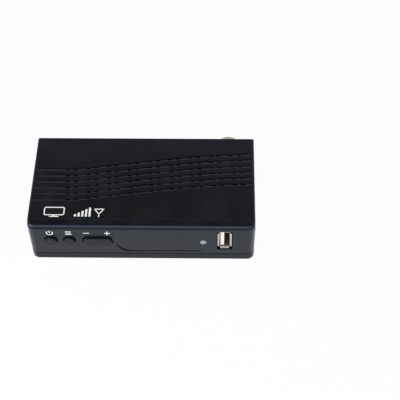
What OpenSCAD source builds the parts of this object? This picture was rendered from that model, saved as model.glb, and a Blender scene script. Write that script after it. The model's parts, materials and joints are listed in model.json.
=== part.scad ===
// Small set-top television decoder: folded steel cover and chassis, moulded front panel with
// push buttons, and a main board with its sockets. Millimetres. X to the right as seen from the
// front, Y to the rear, Z up, with z = 0 on the surface that the feet stand on.

/* [Case] */
// Width across the cover
case_w = 120; // [116:1:150]
// Depth from the front face to the rear edge of the cover
case_d = 61; // [58:1:90]
// Height of the case above its feet
case_h = 28; // [27:0.5:40]
// Thickness of the steel sheet
sheet_t = 0.8; // [0.6:0.1:1.1]
// Outer radius of the cover's bends and of the panel's long edges
bend_r = 1.2; // [1.2:0.1:1.6]
// Gap between fixed pieces that slide together
fit_gap = 0.2; // [0.1:0.05:0.3]
// Width of the seam between the front panel and the cover
seam_gap = 0.2; // [0.1:0.05:0.4]
// How far the cover reaches past the rear wall
rear_lip = 0.5; // [0.2:0.1:1.5]
// Height of the chassis's side walls above its floor
side_wall_h = 6.5; // [6:0.5:7]

/* [Wave pattern on the cover] */
// Number of wave grooves
wave_rows = 6; // [1:1:6]
// Distance between neighbouring grooves
wave_pitch = 4.1; // [3.4:0.1:4.6]
// Distance of the front groove's left end from the front face
wave_start = 18.2; // [15:0.1:20]
// Distance of the grooves' first bend from the left side
wave_left = 20.4; // [8:0.1:24]
// Radius of the first bend
wave_foot_r = 57; // [30:1:80]
// Slope of the incline after the first bend
wave_turn = 8.5; // [4:0.5:9]
// Width of the incline, as a share of the case's width
wave_incline = 0.305; // [0.2:0.005:0.35]
// How far past the right side the second bend would come level
wave_over = 20.6; // [5:0.1:30]
// Plain margin between a groove's ends and the sides
wave_margin = 2; // [1.8:0.1:5]
// Width of a groove at the surface
bead_w = 2; // [1.4:0.1:2.2]
// Width of a groove's flat bottom
bead_flat = 0.4; // [0.2:0.1:1]
// Depth of a groove
bead_depth = 0.25; // [0.2:0.05:0.6]
// Length of a vent hole
vent_l = 2.6; // [1.8:0.1:3.4]
// Width of a vent hole
vent_w = 1.2; // [0.8:0.1:1.6]
// Distance between neighbouring pairs
vent_pair_pitch = 11.1; // [8.5:0.1:11.5]
// Distance between the two holes of a pair
vent_hole_pitch = 4.2; // [3.6:0.1:4.8]
// Distance of the rear groove's first pair from the left side
vent_left = 20.7; // [10:0.1:21]
// Least distance of a groove's last pair from the right side
vent_right = 7; // [6:0.5:20]
// Shift of the pairs to the right from each groove to the next one in front
vent_row_shift = 0.38; // [0:0.02:0.4]

/* [Front panel] */
// Depth of the panel in front of the cover
panel_d = 5; // [4.6:0.1:6]
// Radius of the panel's upright corners
panel_corner_r = 4; // [2.5:0.25:4.5]
// Radius of the panel's upper edges
lip_r = 2; // [1.2:0.1:2.2]
// Radius of the panel's lower edges
lower_edge_r = 0.4; // [0.2:0.1:1]
// How far the panel reaches below the chassis
chin = 0.6; // [0:0.1:0.8]
// Thickness of the panel's front wall
panel_wall = 2; // [1.7:0.1:2.2]
// Length of the collar that reaches in under the cover
collar_len = 3; // [2:0.5:5]
// Thickness of the collar
collar_t = 1.6; // [1.2:0.1:1.8]
// Width of the two long grooves
groove_w = 0.6; // [0.3:0.05:0.8]
// Depth of the two long grooves
groove_depth = 0.6; // [0.3:0.05:0.8]
// Distance of the upper groove below the top
upper_groove_drop = 1.9; // [1.8:0.1:2.4]
// Height of the lower groove above the underside
lower_groove_rise = 4.45; // [3:0.05:4.6]
// Depth of the sweeping line
sweep_depth = 0.6; // [0.2:0.05:0.8]
// Width of the sweeping line
sweep_w = 1; // [0.4:0.05:1.3]
// Outer radius of the sweeping line's bend
sweep_r = 7; // [5:0.25:8]
// Distance of the bend's centre to the right of the rocker's centre
sweep_in = 16.9; // [16:0.1:19]
// Height of the sweeping line's lower edge above the underside
sweep_z = 6.2; // [5.6:0.1:7]
// Length of the sweeping line's straight stretch
sweep_len = 38; // [20:1:40]
// How far the straight stretch climbs towards its right end
sweep_rise = 0.3; // [0:0.1:0.8]
// Shift to the right, from the bend's outer curve to its inner one
sweep_over = 1.7; // [1:0.1:2]
// Shift upwards, from the bend's outer curve to its inner one
sweep_lift = 1.9; // [1:0.1:2.2]
// Distance of the two screw bosses' axes below the top
boss_drop = 5.4; // [5:0.1:6]
// Radius of the screw bosses
boss_r = 2.2; // [1.8:0.1:2.4]

/* [Keys] */
// Distance of the keys' centres below the top
key_drop = 12.6; // [12:0.1:12.8]
// Radius of the round buttons
key_r = 3.4; // [2.8:0.1:3.6]
// How far the keys stand out of the panel
key_proud = 1.3; // [0.8:0.1:2.5]
// Travel of the keys
key_travel = 0.4; // [0.2:0.05:0.5]
// Gap around the keys
key_gap = 0.25; // [0.15:0.05:0.3]
// Rounding of the keys' front edges
key_edge_r = 0.55; // [0.2:0.05:0.7]
// Distance of the power button's centre from the left side
power_in = 11.8; // [10.5:0.1:13]
// Distance from the power button to the menu button
menu_pitch = 9.8; // [9.6:0.1:12]
// Distance from the menu button to the rocker's centre
rocker_pitch = 15; // [14.8:0.1:18]
// Width of the rocker
rocker_w = 15.4; // [15:0.1:17]
// Height of the rocker
rocker_h = 6.5; // [6:0.1:7.4]
// Radius of the rocker's corners
rocker_corner_r = 2.6; // [1.2:0.1:2.9]
// Gap around the rocker, which also takes up its tilt
rocker_gap = 0.4; // [0.35:0.05:0.5]
// Distance from the rocker's pivot to each of its two plungers
rocker_arm = 5.5; // [5:0.1:5.8]
// Radius of the rocker's pin
pin_r = 0.8; // [0.6:0.05:0.9]
// Radial clearance of the pin in the rocker
pin_clear = 0.05; // [0.03:0.01:0.08]

/* [Data socket and lamp] */
// Distance of the data socket's centre from the right side
data_in = 16.05; // [15.5:0.05:18]
// Distance of the data socket's centre below the top
data_drop = 11.75; // [11.4:0.05:12]
// Thickness of the data socket's shell, across its mouth
data_w = 5.7; // [5.6:0.1:5.8]
// Height of the data socket's shell
data_h = 13.1; // [13:0.1:13.2]
// Length of the data socket's shell
data_len = 14; // [12:0.5:18]
// Depth of the socket's flared lips behind the front face
data_recess = 0.45; // [0.2:0.05:0.6]
// Reach of the flared lips to each side
lip_reach = 0.95; // [0.5:0.05:1]
// Depth of the flared lips
lip_d = 0.8; // [0.5:0.05:1]
// Distance of the lamp's centre from the right side
lamp_in = 27.3; // [26.5:0.1:30]
// Distance of the lamp's centre below the top
lamp_drop = 13; // [12.5:0.1:13.5]
// Radius of the lamp
lamp_r = 1.75; // [1.2:0.05:1.9]
// How far the lamp's dome stands out of the panel
lamp_proud = 0.7; // [0.3:0.1:1]

/* [Board] */
// Thickness of the main board
board_t = 1.6; // [1:0.1:2]
// Clearance around the main board
board_gap = 0.6; // [0.4:0.1:0.8]
// Distance of the mounting holes from the board's side edges
hole_in = 4.5; // [4.2:0.1:5]
// Distance of the mounting holes from the board's front and rear edges
hole_end = 8; // [8:0.1:9]
// Radius of the mounting holes
hole_r = 1.6; // [1.5:0.05:1.8]
// Radius of the standoffs
standoff_r = 2.75; // [2.4:0.05:3]
// Place of the processor: x, and distance behind the front face
processor_at = [-6, 30]; // [-10:0.5:40]
// Side of the processor
processor_w = 14; // [10:0.5:16]
// Height of the heat sink's fins
fin_h = 6; // [3:0.5:8]
// Number of the heat sink's fins
fins = 7; // [3:1:8]
// Place of the memory chip: x, and distance behind the front face
memory_at = [14, 29]; // [10:0.5:40]
// Place of the flash chip: x, and distance behind the front face
flash_at = [14, 19]; // [10:0.5:40]
// Place of the crystal: x, and distance behind the front face
crystal_at = [-6, 17]; // [-10:0.5:40]
// Place of the first capacitor: distance from the left side, and behind the front face
capacitor_at = [14, 26]; // [10:0.5:40]
// Distance between the capacitors
capacitor_pitch = 8; // [7:0.5:9]
// Number of capacitors
capacitor_count = 3; // [1:1:3]
// Place of the first inductor: distance from the left side, and behind the front face
inductor_at = [14, 37]; // [10:0.5:40]
// Distance between the inductors, and between the regulators
inductor_pitch = 10; // [8:0.5:12]
// Place of the first regulator: distance from the left side, and behind the front face
regulator_at = [14, 18.5]; // [10:0.5:40]
// Place of the infra-red receiver's centre, left of the lamp
receiver_in = 9; // [8:0.5:10]

/* [Rear sockets] */
// Distance of the aerial socket's axis from the right side
aerial_in = 14.2; // [12:0.1:16]
// Height of the aerial socket's axis above the board
aerial_rise = 5.3; // [5.1:0.1:5.9]
// Outer radius of the aerial socket's barrel
aerial_r = 6.3; // [5.8:0.1:6.8]
// Radius of the barrel's bore, which takes the plug's sleeve
aerial_bore_r = 4.8; // [4.76:0.01:4.9]
// How far the barrel stands out behind the cover
aerial_proud = 7.7; // [6:0.1:10]
// Width of the tuner
tuner_w = 20; // [16:0.5:22]
// Length of the tuner
tuner_l = 24; // [18:0.5:26]
// Height of the tuner's frame
tuner_h = 11.5; // [11:0.5:13]
// Thickness of the tuner's tin sheet
tin_t = 0.5; // [0.4:0.05:0.6]
// Place of the digital video socket's centre across the case
video_x = 14; // [8:0.5:18]
// Place of the sound and picture jack's axis across the case
jack_x = -14; // [-20:0.5:-8]
// Radius of the jack's bore
jack_r = 1.8; // [1.7:0.05:1.9]
// Distance of the power inlet's axis from the left side
inlet_in = 17; // [16:0.5:22]
// Radius of the power inlet's bore
inlet_r = 3.1; // [2.8:0.05:3.3]
// Radius of the power inlet's pin
inlet_pin_r = 1.05; // [0.8:0.05:1.25]
// Gap around each socket in the rear wall
port_gap = 0.4; // [0.3:0.05:0.6]

/* [Feet and fasteners] */
// Height of the feet
foot_h = 1.2; // [0.8:0.1:3]
// Radius of the feet
foot_r = 4.5; // [3:0.25:6]
// Distance of the feet's centres from the sides
foot_in = 13; // [9:0.5:20]
// Distance of the feet's centres from the chassis's front and rear edges
foot_end = 9; // [7:0.5:14]
// Radius of the cover screws' shanks
screw_r = 1.3; // [1.1:0.05:1.5]
// Radial clearance of a screw in its hole
screw_clear = 0.05; // [0.03:0.01:0.1]
// Height of the cover screws above the underside
screw_z = 4.2; // [4:0.1:4.8]
// Distance of the cover screws from the cover's front and rear edges
screw_end = 12; // [9:0.5:16]
// Length of the cover screws under the head
screw_l = 3; // [2.5:0.25:3]

/* [Hidden] */
$fn = 64;
eps = 0.01;
past = 1;

// Levels and planes of the case
whole_d = key_proud + case_d + aerial_proud;
front_y = -whole_d / 2 + key_proud;
rear_y = front_y + case_d;
base_z = foot_h;
floor_z = base_z + sheet_t;
top_z = base_z + case_h;
ceiling_z = top_z - sheet_t;
half_w = case_w / 2;
seam_y = front_y + panel_d;
inner_half_w = half_w - sheet_t - fit_gap;

// Front panel
shell_t = sheet_t + fit_gap + collar_t;
collar_end_y = seam_y + collar_len;
wall_back_y = front_y + panel_wall;
key_level = top_z - key_drop;
upper_groove_z = top_z - upper_groove_drop;
lower_groove_z = base_z + lower_groove_rise;
boss_level = top_z - boss_drop;

// Chassis
flange_y = seam_y + fit_gap;
flange_back_y = flange_y + sheet_t;
flange_half_w = half_w - shell_t - fit_gap;
flange_top_z = top_z - shell_t - fit_gap;
rear_wall_y = rear_y - rear_lip;
rear_inner_y = rear_wall_y - sheet_t;

// Keys, from left to right
power_x = -half_w + power_in;
menu_x = power_x + menu_pitch;
rocker_x = menu_x + rocker_pitch;
sweep_x = rocker_x + sweep_in;
right_boss_in = 12;
boss_x = [(power_x + menu_x) / 2, half_w - lamp_in - right_boss_in];
boss_end_t = 0.3;
flange_key_w = 1.2;
flange_key_r = key_r + flange_key_w;
flange_key_t = 1;
key_seat_gap = 0.1;
pin_front_t = 0.8;
pin_back_t = 0.6;
pivot_y = wall_back_y + pin_r + pin_front_t;
pivot_back_y = pivot_y + pin_r + pin_back_t;
lug_w = 4;
lug_h = 2;
lug_gap = 0.2;
lug_start = rocker_h / 2 + rocker_gap + lug_gap;
rocker_play = 0.12;

// Board
data_level = top_z - data_drop;
board_top_z = data_level - data_h / 2;
board_bottom_z = board_top_z - board_t;
board_half_w = half_w - shell_t - board_gap;
board_front_y = flange_back_y + board_gap;
board_rear_y = rear_inner_y - board_gap;
board_hole_x = board_half_w - hole_in;
hole_clear = 0.3;
board_screw_r = hole_r - hole_clear;
tuner_x = half_w - aerial_in;
board_holes = [[-board_hole_x, board_front_y + hole_end], [board_hole_x, board_front_y + hole_end],
  [-board_hole_x, board_rear_y - hole_end], [tuner_x - tuner_w / 2 - hole_in, board_rear_y - hole_end]];

// Key switches
switch_w = 6;
switch_d = 3.5;
switch_inset = 0.4;
switch_front_y = board_front_y + switch_inset;
bracket_t = 0.4;
plunger_r = 1.6;
plunger_out = 2.2;
plunger_in = 1.4;
plunger_gap = 0.1;
plunger_tip_y = switch_front_y - plunger_out;
stem_r = 1.2;
switch_xs = [power_x, menu_x, rocker_x - rocker_arm, rocker_x + rocker_arm];

// Data socket and lamp
data_x = half_w - data_in;
data_front_y = front_y + data_recess + lip_d;
data_t = 0.3;
data_end_t = 4;
tongue_t = 1.84;
tongue_h = 11.1;
tongue_gap = 0.38;
tongue_inset = 0.3;
tongue_x = data_x - data_w / 2 + data_t + tongue_gap;
data_hole_gap = 0.35;
lamp_x = half_w - lamp_in;
lamp_level = top_z - lamp_drop;
lamp_hole_gap = 0.15;
lamp_len = 5.2;
lamp_dome_r = 3;
lamp_rim = 0.4;
lamp_rim_t = 1;
lamp_back_y = front_y - lamp_proud + lamp_len;
lamp_lead_x = 0.6;
lamp_lead_in = 2;
lead_w = 0.45;
holder_t = 0.4;
holder_r = lamp_r + lamp_rim + holder_t;
holder_ledge = 0.3;
holder_d = 4;
holder_end_t = 1;
receiver_x = lamp_x - receiver_in;
receiver_w = 6;
receiver_d = 3;
receiver_h = 6.6;
receiver_r = 2;
receiver_rise = 1.4;
receiver_lead_pitch = 2;
receiver_lead_in = 1;
receiver_inset = 1.6;
receiver_front_y = board_front_y + receiver_inset;
receiver_level = board_top_z + receiver_rise + receiver_h / 2;

// Tuner and aerial socket
tuner_gap = 0.3;
tuner_rear_y = rear_inner_y - tuner_gap;
tuner_front_y = tuner_rear_y - tuner_l;
tuner_top_z = board_top_z + tuner_h;
lid_rim = 2;
lid_gap = 0.05;
aerial_level = board_top_z + aerial_rise;
aerial_end_y = rear_y + aerial_proud;
contact_r = 1.8;
contact_bore_r = 1.2;
contact_gap = 0.03;
contact_tail = 2;
contact_end_t = 1;
contact_depth = 1;
insulator_depth = 7;

// Digital video socket: a mouth that narrows towards the board
video_w = 15;
video_h = 5.9;
video_low_w = 10.6;
video_slope_h = 2.3;
video_t = 0.4;
video_len = 11;
video_proud = 0.5;
video_end_y = rear_wall_y + video_proud;
video_front_y = video_end_y - video_len;
video_back_t = 3;
video_tongue_w = 9.8;
video_tongue_t = 0.9;
video_tongue_rise = 0.3;
video_tongue_z = board_top_z + video_h / 2 + video_tongue_rise;
video_tongue_in = 1;
video_upper_contacts = 10;
video_lower_contacts = 9;
video_contact_in = 1.6;
video_contact_pitch = 0.9;
video_contact_w = 0.35;
video_contact_t = 0.08;

// Sound and picture jack, and power inlet
jack_w = 6.4;
jack_l = 11.5;
jack_bush_r = 2.9;
jack_bush_play = 0.2;
jack_bush_bore_r = jack_r + jack_bush_play;
jack_proud = 1.2;
jack_level = board_top_z + jack_w / 2;
jack_back_y = rear_inner_y - fit_gap;
inlet_x = -half_w + inlet_in;
inlet_w = 9;
inlet_l = 13;
inlet_h = 11;
inlet_rim = 1;
inlet_mouth_r = inlet_r + inlet_rim;
inlet_proud = 0.6;
inlet_depth = 9.5;
inlet_pin_in = 1.5;
inlet_level = board_top_z + inlet_h / 2;
inlet_back_y = rear_inner_y - fit_gap;

// Board parts
chip_t = 1.2;
dimple_r = 0.5;
dimple_in = 1.2;
dimple_d = 0.15;
memory_size = [8, 12, 1];
flash_size = [5, 5.2, 1.7];
pad_t = 0.5;
sink_over = 4;
sink_w = processor_w + sink_over;
sink_t = 1.5;
fin_t = 0.9;
pad_z = board_top_z + chip_t;
sink_z = pad_z + pad_t;

// Vents in the floor
floor_vent_rows = [25, 43];
floor_vent_side = 3;
floor_vent_pitch = 8;
floor_vent_l = 14;
floor_vent_w = 2;

// Wave curve on the cover: level, a short bend up, a straight incline, then a long bend to the right margin
wave_x1 = -half_w + wave_left;
wave_x2 = wave_x1 + wave_foot_r * sin(wave_turn);
wave_x3 = wave_x2 + wave_incline * case_w;
wave_end_x = half_w - wave_margin;
wave_level_x = half_w + wave_over;
wave_head_r = (wave_level_x - wave_x3) / sin(wave_turn);
wave_y2 = wave_foot_r * (1 - cos(wave_turn));
wave_y3 = wave_y2 + (wave_x3 - wave_x2) * tan(wave_turn);
wave_sides = 512;
under_ledge = 0.15;
under_flat = vent_w + 2 * under_ledge;
under_w = under_flat + 2 * bead_depth;
sleeve_l = 0.2;
vent_room = case_w - vent_left - vent_right - (wave_rows - 1) * vent_row_shift;
vent_pairs = 1 + floor(vent_room / vent_pair_pitch);
function row_y(row) = front_y + wave_start + row * wave_pitch;
function wave_angle(x) =
  x < wave_x2 ? asin(max(x - wave_x1, 0) / wave_foot_r)
  : x < wave_x3 ? wave_turn
  : asin((wave_level_x - x) / wave_head_r);
function wave_y(x) =
  x < wave_x2 ? wave_foot_r * (1 - cos(wave_angle(x)))
  : x < wave_x3 ? wave_y2 + (x - wave_x2) * tan(wave_turn)
  : wave_y3 + wave_head_r * (cos(wave_angle(x)) - cos(wave_turn));

// Cover screws
cover_screw_ys = [seam_y + screw_end, rear_y - screw_end];
head_r = 2 * screw_r;
head_t = 1;
panel_screw_r = 1;
panel_screw_l = 3.2;
panel_head_t = 1.4;
board_head_t = 1.6;
board_thread_share = 0.6;
board_screw_l = board_t + board_thread_share * (board_bottom_z - floor_z);

// Extrudes a face drawn in X and Z from y0 to y1
module along_y(y0, y1) {
  translate([0, y1, 0]) rotate([90, 0, 0]) linear_extrude(y1 - y0) children();
}

// Extrudes a face drawn in Y and Z from x0 to x1
module along_x(x0, x1) {
  translate([x0, 0, 0]) rotate([90, 0, 90]) linear_extrude(x1 - x0) children();
}

// A round bar along Y, from y0 to y1
module bar_y(x, z, r, y0, y1) {
  translate([x, y1, z]) rotate([90, 0, 0]) cylinder(r = r, h = y1 - y0);
}

// A block given by its corners
module block(low, high) {
  translate(low) cube(high - low);
}

// A solid of revolution about an axis along Y, drawn with its radius and its depth behind y
module turned_y(x, y, z) {
  translate([x, y, z]) rotate([-90, 0, 0]) rotate_extrude() children();
}

// A rectangle with four round corners, centred
module rounded(w, h, r) {
  square([w - 2 * r, h], center = true);
  square([w, h - 2 * r], center = true);
  for (sx = [-1, 1], sz = [-1, 1]) translate([sx * (w / 2 - r), sz * (h / 2 - r)]) circle(r);
}

// A slot with round ends, centred
module slot(l, w) {
  square([l - w, w], center = true);
  for (s = [-1, 1]) translate([s * (l - w) / 2, 0]) circle(w / 2);
}

// An arch outline that stands on z0, with round upper corners
module arch(half, z0, z1, r) {
  translate([-half, z0]) square([2 * half, z1 - r - z0]);
  translate([r - half, z0]) square([2 * (half - r), z1 - z0]);
  for (s = [-1, 1]) translate([s * (half - r), z1 - r]) circle(r);
}

// Cross-section of a pressed groove, centred on its own line: width, flat bottom's width and depth
module bead_section(wide, flat, deep) {
  polygon([[-wide / 2, eps], [wide / 2, eps], [wide / 2, 0],
    [flat / 2, -deep], [-flat / 2, -deep], [-wide / 2, 0]]);
}

// One groove's path over the cover, with a given cross-section. A short sleeve, a hair larger, lies over both
// ends of the incline, so that nothing is left between the stretches that meet there.
module wave(row, z, wide, flat) {
  end_turn = wave_angle(wave_end_x);
  translate([0, row_y(row), z]) {
    along_x(-half_w + wave_margin, wave_x1) bead_section(wide, flat, bead_depth);
    translate([wave_x1, wave_foot_r]) rotate(270) rotate_extrude(angle = wave_turn, $fn = wave_sides)
      translate([wave_foot_r, 0]) bead_section(wide, flat, bead_depth);
    translate([wave_x2, wave_y2]) rotate(wave_turn)
      along_x(0, (wave_x3 - wave_x2) / cos(wave_turn)) bead_section(wide, flat, bead_depth);
    translate([wave_level_x, wave_y3 - wave_head_r * cos(wave_turn)]) rotate(90 + end_turn)
      rotate_extrude(angle = wave_turn - end_turn, $fn = wave_sides)
        translate([wave_head_r, 0]) bead_section(wide, flat, bead_depth);
    for (x = [wave_x2, wave_x3]) translate([x, wave_y(x)]) rotate(wave_turn)
      along_x(-sleeve_l / 2, sleeve_l / 2) bead_section(wide + 2 * eps, flat + 2 * eps, bead_depth + eps);
  }
}

// The vent holes along one groove
module vents(row) {
  first_x = -half_w + vent_left + (wave_rows - 1 - row) * vent_row_shift;
  for (pair = [0 : vent_pairs - 1], side = [-1, 1]) {
    x = first_x + pair * vent_pair_pitch + side * vent_hole_pitch / 2;
    translate([x, row_y(row) + wave_y(x), ceiling_z - bead_depth - past]) rotate([0, 0, wave_angle(x)])
      linear_extrude(sheet_t + bead_depth + 2 * past) slot(vent_l, vent_w);
  }
}

module top_cover() {
  color([0.07, 0.07, 0.08]) difference() {
    union() {
      along_y(seam_y + seam_gap, rear_y) difference() {
        arch(half_w, base_z, top_z, bend_r);
        arch(half_w - sheet_t, base_z - past, ceiling_z, bend_r - sheet_t);
      }
      for (row = [0 : wave_rows - 1]) wave(row, ceiling_z, under_w, under_flat);
    }
    for (row = [0 : wave_rows - 1]) {
      wave(row, top_z, bead_w, bead_flat);
      vents(row);
    }
    for (s = [-1, 1], y = cover_screw_ys)
      translate([s * half_w, y, base_z + screw_z]) rotate([0, 90, 0])
        cylinder(r = screw_r + 2 * screw_clear, h = 4 * sheet_t, center = true);
  }
}

module floor_vents() {
  for (i = [-floor_vent_side : floor_vent_side], y = floor_vent_rows)
    translate([i * floor_vent_pitch, front_y + y, base_z - past]) linear_extrude(sheet_t + 2 * past)
      rotate(90) slot(floor_vent_l, floor_vent_w);
}

module chassis() {
  side_y0 = collar_end_y + 2 * fit_gap;
  side_y1 = rear_inner_y - 2 * fit_gap;
  color([0.09, 0.09, 0.1]) difference() {
    union() {
      block([-inner_half_w, flange_y, base_z], [inner_half_w, rear_inner_y - eps, floor_z]);
      block([-flange_half_w, flange_y, base_z], [flange_half_w, flange_back_y, flange_top_z]);
      for (s = [0, 1]) mirror([s, 0, 0])
        block([inner_half_w - sheet_t, side_y0, base_z], [inner_half_w, side_y1, floor_z + side_wall_h]);
    }
    floor_vents();
    block([power_x - switch_w / 2, flange_y - past, key_level - switch_w / 2],
      [rocker_x + rocker_arm + switch_w / 2, flange_back_y + past, key_level + switch_w / 2]);
    block([data_x - data_w / 2 - port_gap, flange_y - past, board_top_z - port_gap],
      [data_x + data_w / 2 + port_gap, flange_back_y + past, data_level + data_h / 2 + port_gap]);
    bar_y(lamp_x, lamp_level, holder_r + port_gap, flange_y - past, flange_back_y + past);
    bar_y(receiver_x, receiver_level, receiver_r + port_gap, flange_y - past, flange_back_y + past);
    for (x = boss_x)
      bar_y(x, boss_level, panel_screw_r + 2 * screw_clear, flange_y - past, flange_back_y + past);
    for (s = [-1, 1], y = cover_screw_ys)
      translate([s * inner_half_w, y, base_z + screw_z]) rotate([0, 90, 0])
        cylinder(r = screw_r + screw_clear, h = 4 * sheet_t, center = true);
  }
}

// Flat sheet behind the sockets, welded to the rear edge of the chassis floor
module rear_panel() {
  color([0.09, 0.09, 0.1]) difference() {
    block([-inner_half_w, rear_inner_y, base_z], [inner_half_w, rear_wall_y, ceiling_z - fit_gap]);
    bar_y(tuner_x, aerial_level, aerial_r + port_gap, rear_inner_y - past, rear_wall_y + past);
    along_y(rear_inner_y - past, rear_wall_y + past)
      translate([video_x, board_top_z + video_h / 2])
        square([video_w, video_h] + 2 * [port_gap, port_gap], center = true);
    bar_y(jack_x, jack_level, jack_bush_r + port_gap, rear_inner_y - past, rear_wall_y + past);
    bar_y(inlet_x, inlet_level, inlet_mouth_r + port_gap, rear_inner_y - past, rear_wall_y + past);
  }
}

// Outline of the panel's edge: reach from the middle line, with a round upper and a round lower corner
module panel_edge(reach) {
  low_z = base_z - chin;
  translate([0, low_z + lower_edge_r]) square([reach, top_z - low_z - lower_edge_r - lip_r]);
  translate([0, low_z]) square([reach - lower_edge_r, top_z - low_z - lip_r]);
  translate([0, low_z]) square([reach - lip_r, top_z - low_z]);
  translate([reach - lower_edge_r, low_z + lower_edge_r]) circle(lower_edge_r);
  translate([reach - lip_r, top_z - lip_r]) circle(lip_r);
}

module panel_body() {
  straight = half_w - panel_corner_r;
  corner_y = front_y + panel_corner_r;
  translate([0, corner_y, 0]) mirror([0, 1, 0]) along_x(-straight, straight) panel_edge(panel_corner_r);
  for (s = [0, 1]) mirror([s, 0, 0]) translate([straight, corner_y, 0])
    rotate([0, 0, 270]) rotate_extrude(angle = 90) panel_edge(panel_corner_r);
  along_y(corner_y, seam_y) for (s = [0, 1]) mirror([s, 0]) panel_edge(half_w);
}

module groove_section() {
  square([2 * groove_depth, groove_w], center = true);
}

// A square-cut groove across the front and around both corners
module long_groove(z) {
  straight = half_w - panel_corner_r;
  corner_y = front_y + panel_corner_r;
  along_x(-straight, straight) translate([front_y, z]) groove_section();
  for (s = [0, 1]) mirror([s, 0, 0]) translate([straight, corner_y, 0])
    rotate([0, 0, 270]) rotate_extrude(angle = 90) translate([panel_corner_r, z]) groove_section();
}

// The sweeping line: a crescent that hangs down from a point, then a straight stretch that climbs a little
module sweep_face() {
  low_z = base_z + sweep_z;
  centre_z = low_z + sweep_r;
  inner_x = sweep_x + sweep_over;
  inner_r = sweep_r + sweep_lift - sweep_w;
  difference() {
    intersection() {
      union() {
        translate([sweep_x, centre_z]) circle(sweep_r);
        translate([sweep_x, low_z]) square([sweep_over, sweep_r]);
      }
      translate([sweep_x - sweep_r, low_z]) square([sweep_r + sweep_over, 2 * sweep_r]);
    }
    translate([inner_x, centre_z + sweep_lift]) circle(inner_r);
  }
  end_z = low_z + sweep_rise;
  polygon([[inner_x - eps, low_z], [sweep_x + sweep_len, end_z], [sweep_x + sweep_len, end_z + sweep_w],
    [inner_x - eps, low_z + sweep_w]]);
}

module front_panel() {
  color([0.13, 0.14, 0.16]) difference() {
    union() {
      difference() {
        panel_body();
        block([-half_w + shell_t, wall_back_y, base_z + shell_t],
          [half_w - shell_t, seam_y + past, top_z - shell_t]);
      }
      along_y(seam_y, collar_end_y) difference() {
        arch(half_w - sheet_t - fit_gap, floor_z + fit_gap, ceiling_z - fit_gap, bend_r - sheet_t);
        translate([-half_w + shell_t, base_z - past]) square([case_w - 2 * shell_t, case_h - shell_t + past]);
      }
      for (x = boss_x) bar_y(x, boss_level, boss_r, wall_back_y - eps, flange_y);
      for (s = [0, 1]) translate([0, 0, key_level]) mirror([0, 0, s])
        block([rocker_x - lug_w / 2, wall_back_y - eps, lug_start],
          [rocker_x + lug_w / 2, pivot_back_y, lug_start + lug_h]);
    }
    for (z = [lower_groove_z, upper_groove_z]) long_groove(z);
    along_y(front_y - past, front_y + sweep_depth) sweep_face();
    for (x = [power_x, menu_x]) bar_y(x, key_level, key_r + key_gap, front_y - past, wall_back_y + past);
    along_y(front_y - past, wall_back_y + eps) translate([rocker_x, key_level])
      rounded(rocker_w + 2 * rocker_gap, rocker_h + 2 * rocker_gap, rocker_corner_r + rocker_gap);
    along_y(front_y - past, wall_back_y + past) translate([data_x, data_level])
      rounded(data_w + 2 * (lip_reach + data_hole_gap), data_h + 2 * (lip_reach + data_hole_gap), lip_reach);
    bar_y(lamp_x, lamp_level, lamp_r + lamp_hole_gap, front_y - past, wall_back_y + past);
    for (x = boss_x)
      bar_y(x, boss_level, panel_screw_r + screw_clear, wall_back_y + boss_end_t, flange_y + past);
    translate([rocker_x, pivot_y, key_level])
      cylinder(r = pin_r + contact_gap, h = 2 * (lug_start + lug_h + past), center = true);
  }
}

module rubber_feet() {
  color([0.05, 0.05, 0.05])
    for (s = [-1, 1], y = [flange_y + foot_end, rear_wall_y - foot_end])
      translate([s * (half_w - foot_in), y, 0]) cylinder(r1 = foot_r - foot_h / 3, r2 = foot_r, h = foot_h);
}

// A screw with a cross recess, its shank along -Z and its head's seat at z = 0
module screw(shank_r, shank_l, screw_head_r, screw_head_t) {
  recess_l = 1.2 * screw_head_r;
  recess_w = 0.25 * screw_head_r;
  translate([0, 0, -shank_l]) cylinder(r = shank_r, h = shank_l + eps);
  difference() {
    rotate_extrude() intersection() {
      square([screw_head_r, screw_head_t]);
      translate([0, screw_head_t - 2 * screw_head_r]) circle(2 * screw_head_r);
    }
    for (turn = [0, 90]) rotate(turn)
      translate([0, 0, screw_head_t]) cube([recess_l, recess_w, screw_head_t], center = true);
  }
}

module cover_screws() {
  color("dimgray")
    for (s = [-1, 1], y = cover_screw_ys)
      translate([s * half_w, y, base_z + screw_z]) rotate([0, s * 90, 0])
        screw(screw_r, screw_l, head_r, head_t);
}

module panel_screws() {
  color("silver")
    for (x = boss_x)
      translate([x, flange_back_y, boss_level]) rotate([-90, 0, 0])
        screw(panel_screw_r, panel_screw_l, 2 * panel_screw_r, panel_head_t);
}

module board_standoffs() {
  color("goldenrod")
    for (at = board_holes) translate([at.x, at.y, floor_z]) difference() {
      cylinder(r = standoff_r, h = board_bottom_z - floor_z);
      translate([0, 0, -past])
        cylinder(r = board_screw_r + screw_clear, h = board_bottom_z - floor_z + 2 * past);
    }
}

module board_screws() {
  color("silver")
    for (at = board_holes) translate([at.x, at.y, board_top_z])
      screw(board_screw_r, board_screw_l, 2 * board_screw_r, board_head_t);
}

module main_board() {
  color([0.05, 0.3, 0.15]) difference() {
    block([-board_half_w, board_front_y, board_bottom_z], [board_half_w, board_rear_y, board_top_z]);
    for (at = board_holes)
      translate([at.x, at.y, board_bottom_z - past]) cylinder(r = hole_r, h = board_t + 2 * past);
  }
}

// Half outline of a round key with a rounded front edge: radius, then depth behind its front face
module key_outline(r, len) {
  translate([0, key_edge_r]) square([r, len - key_edge_r]);
  square([r - key_edge_r, len]);
  translate([r - key_edge_r, key_edge_r]) circle(key_edge_r);
}

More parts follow.
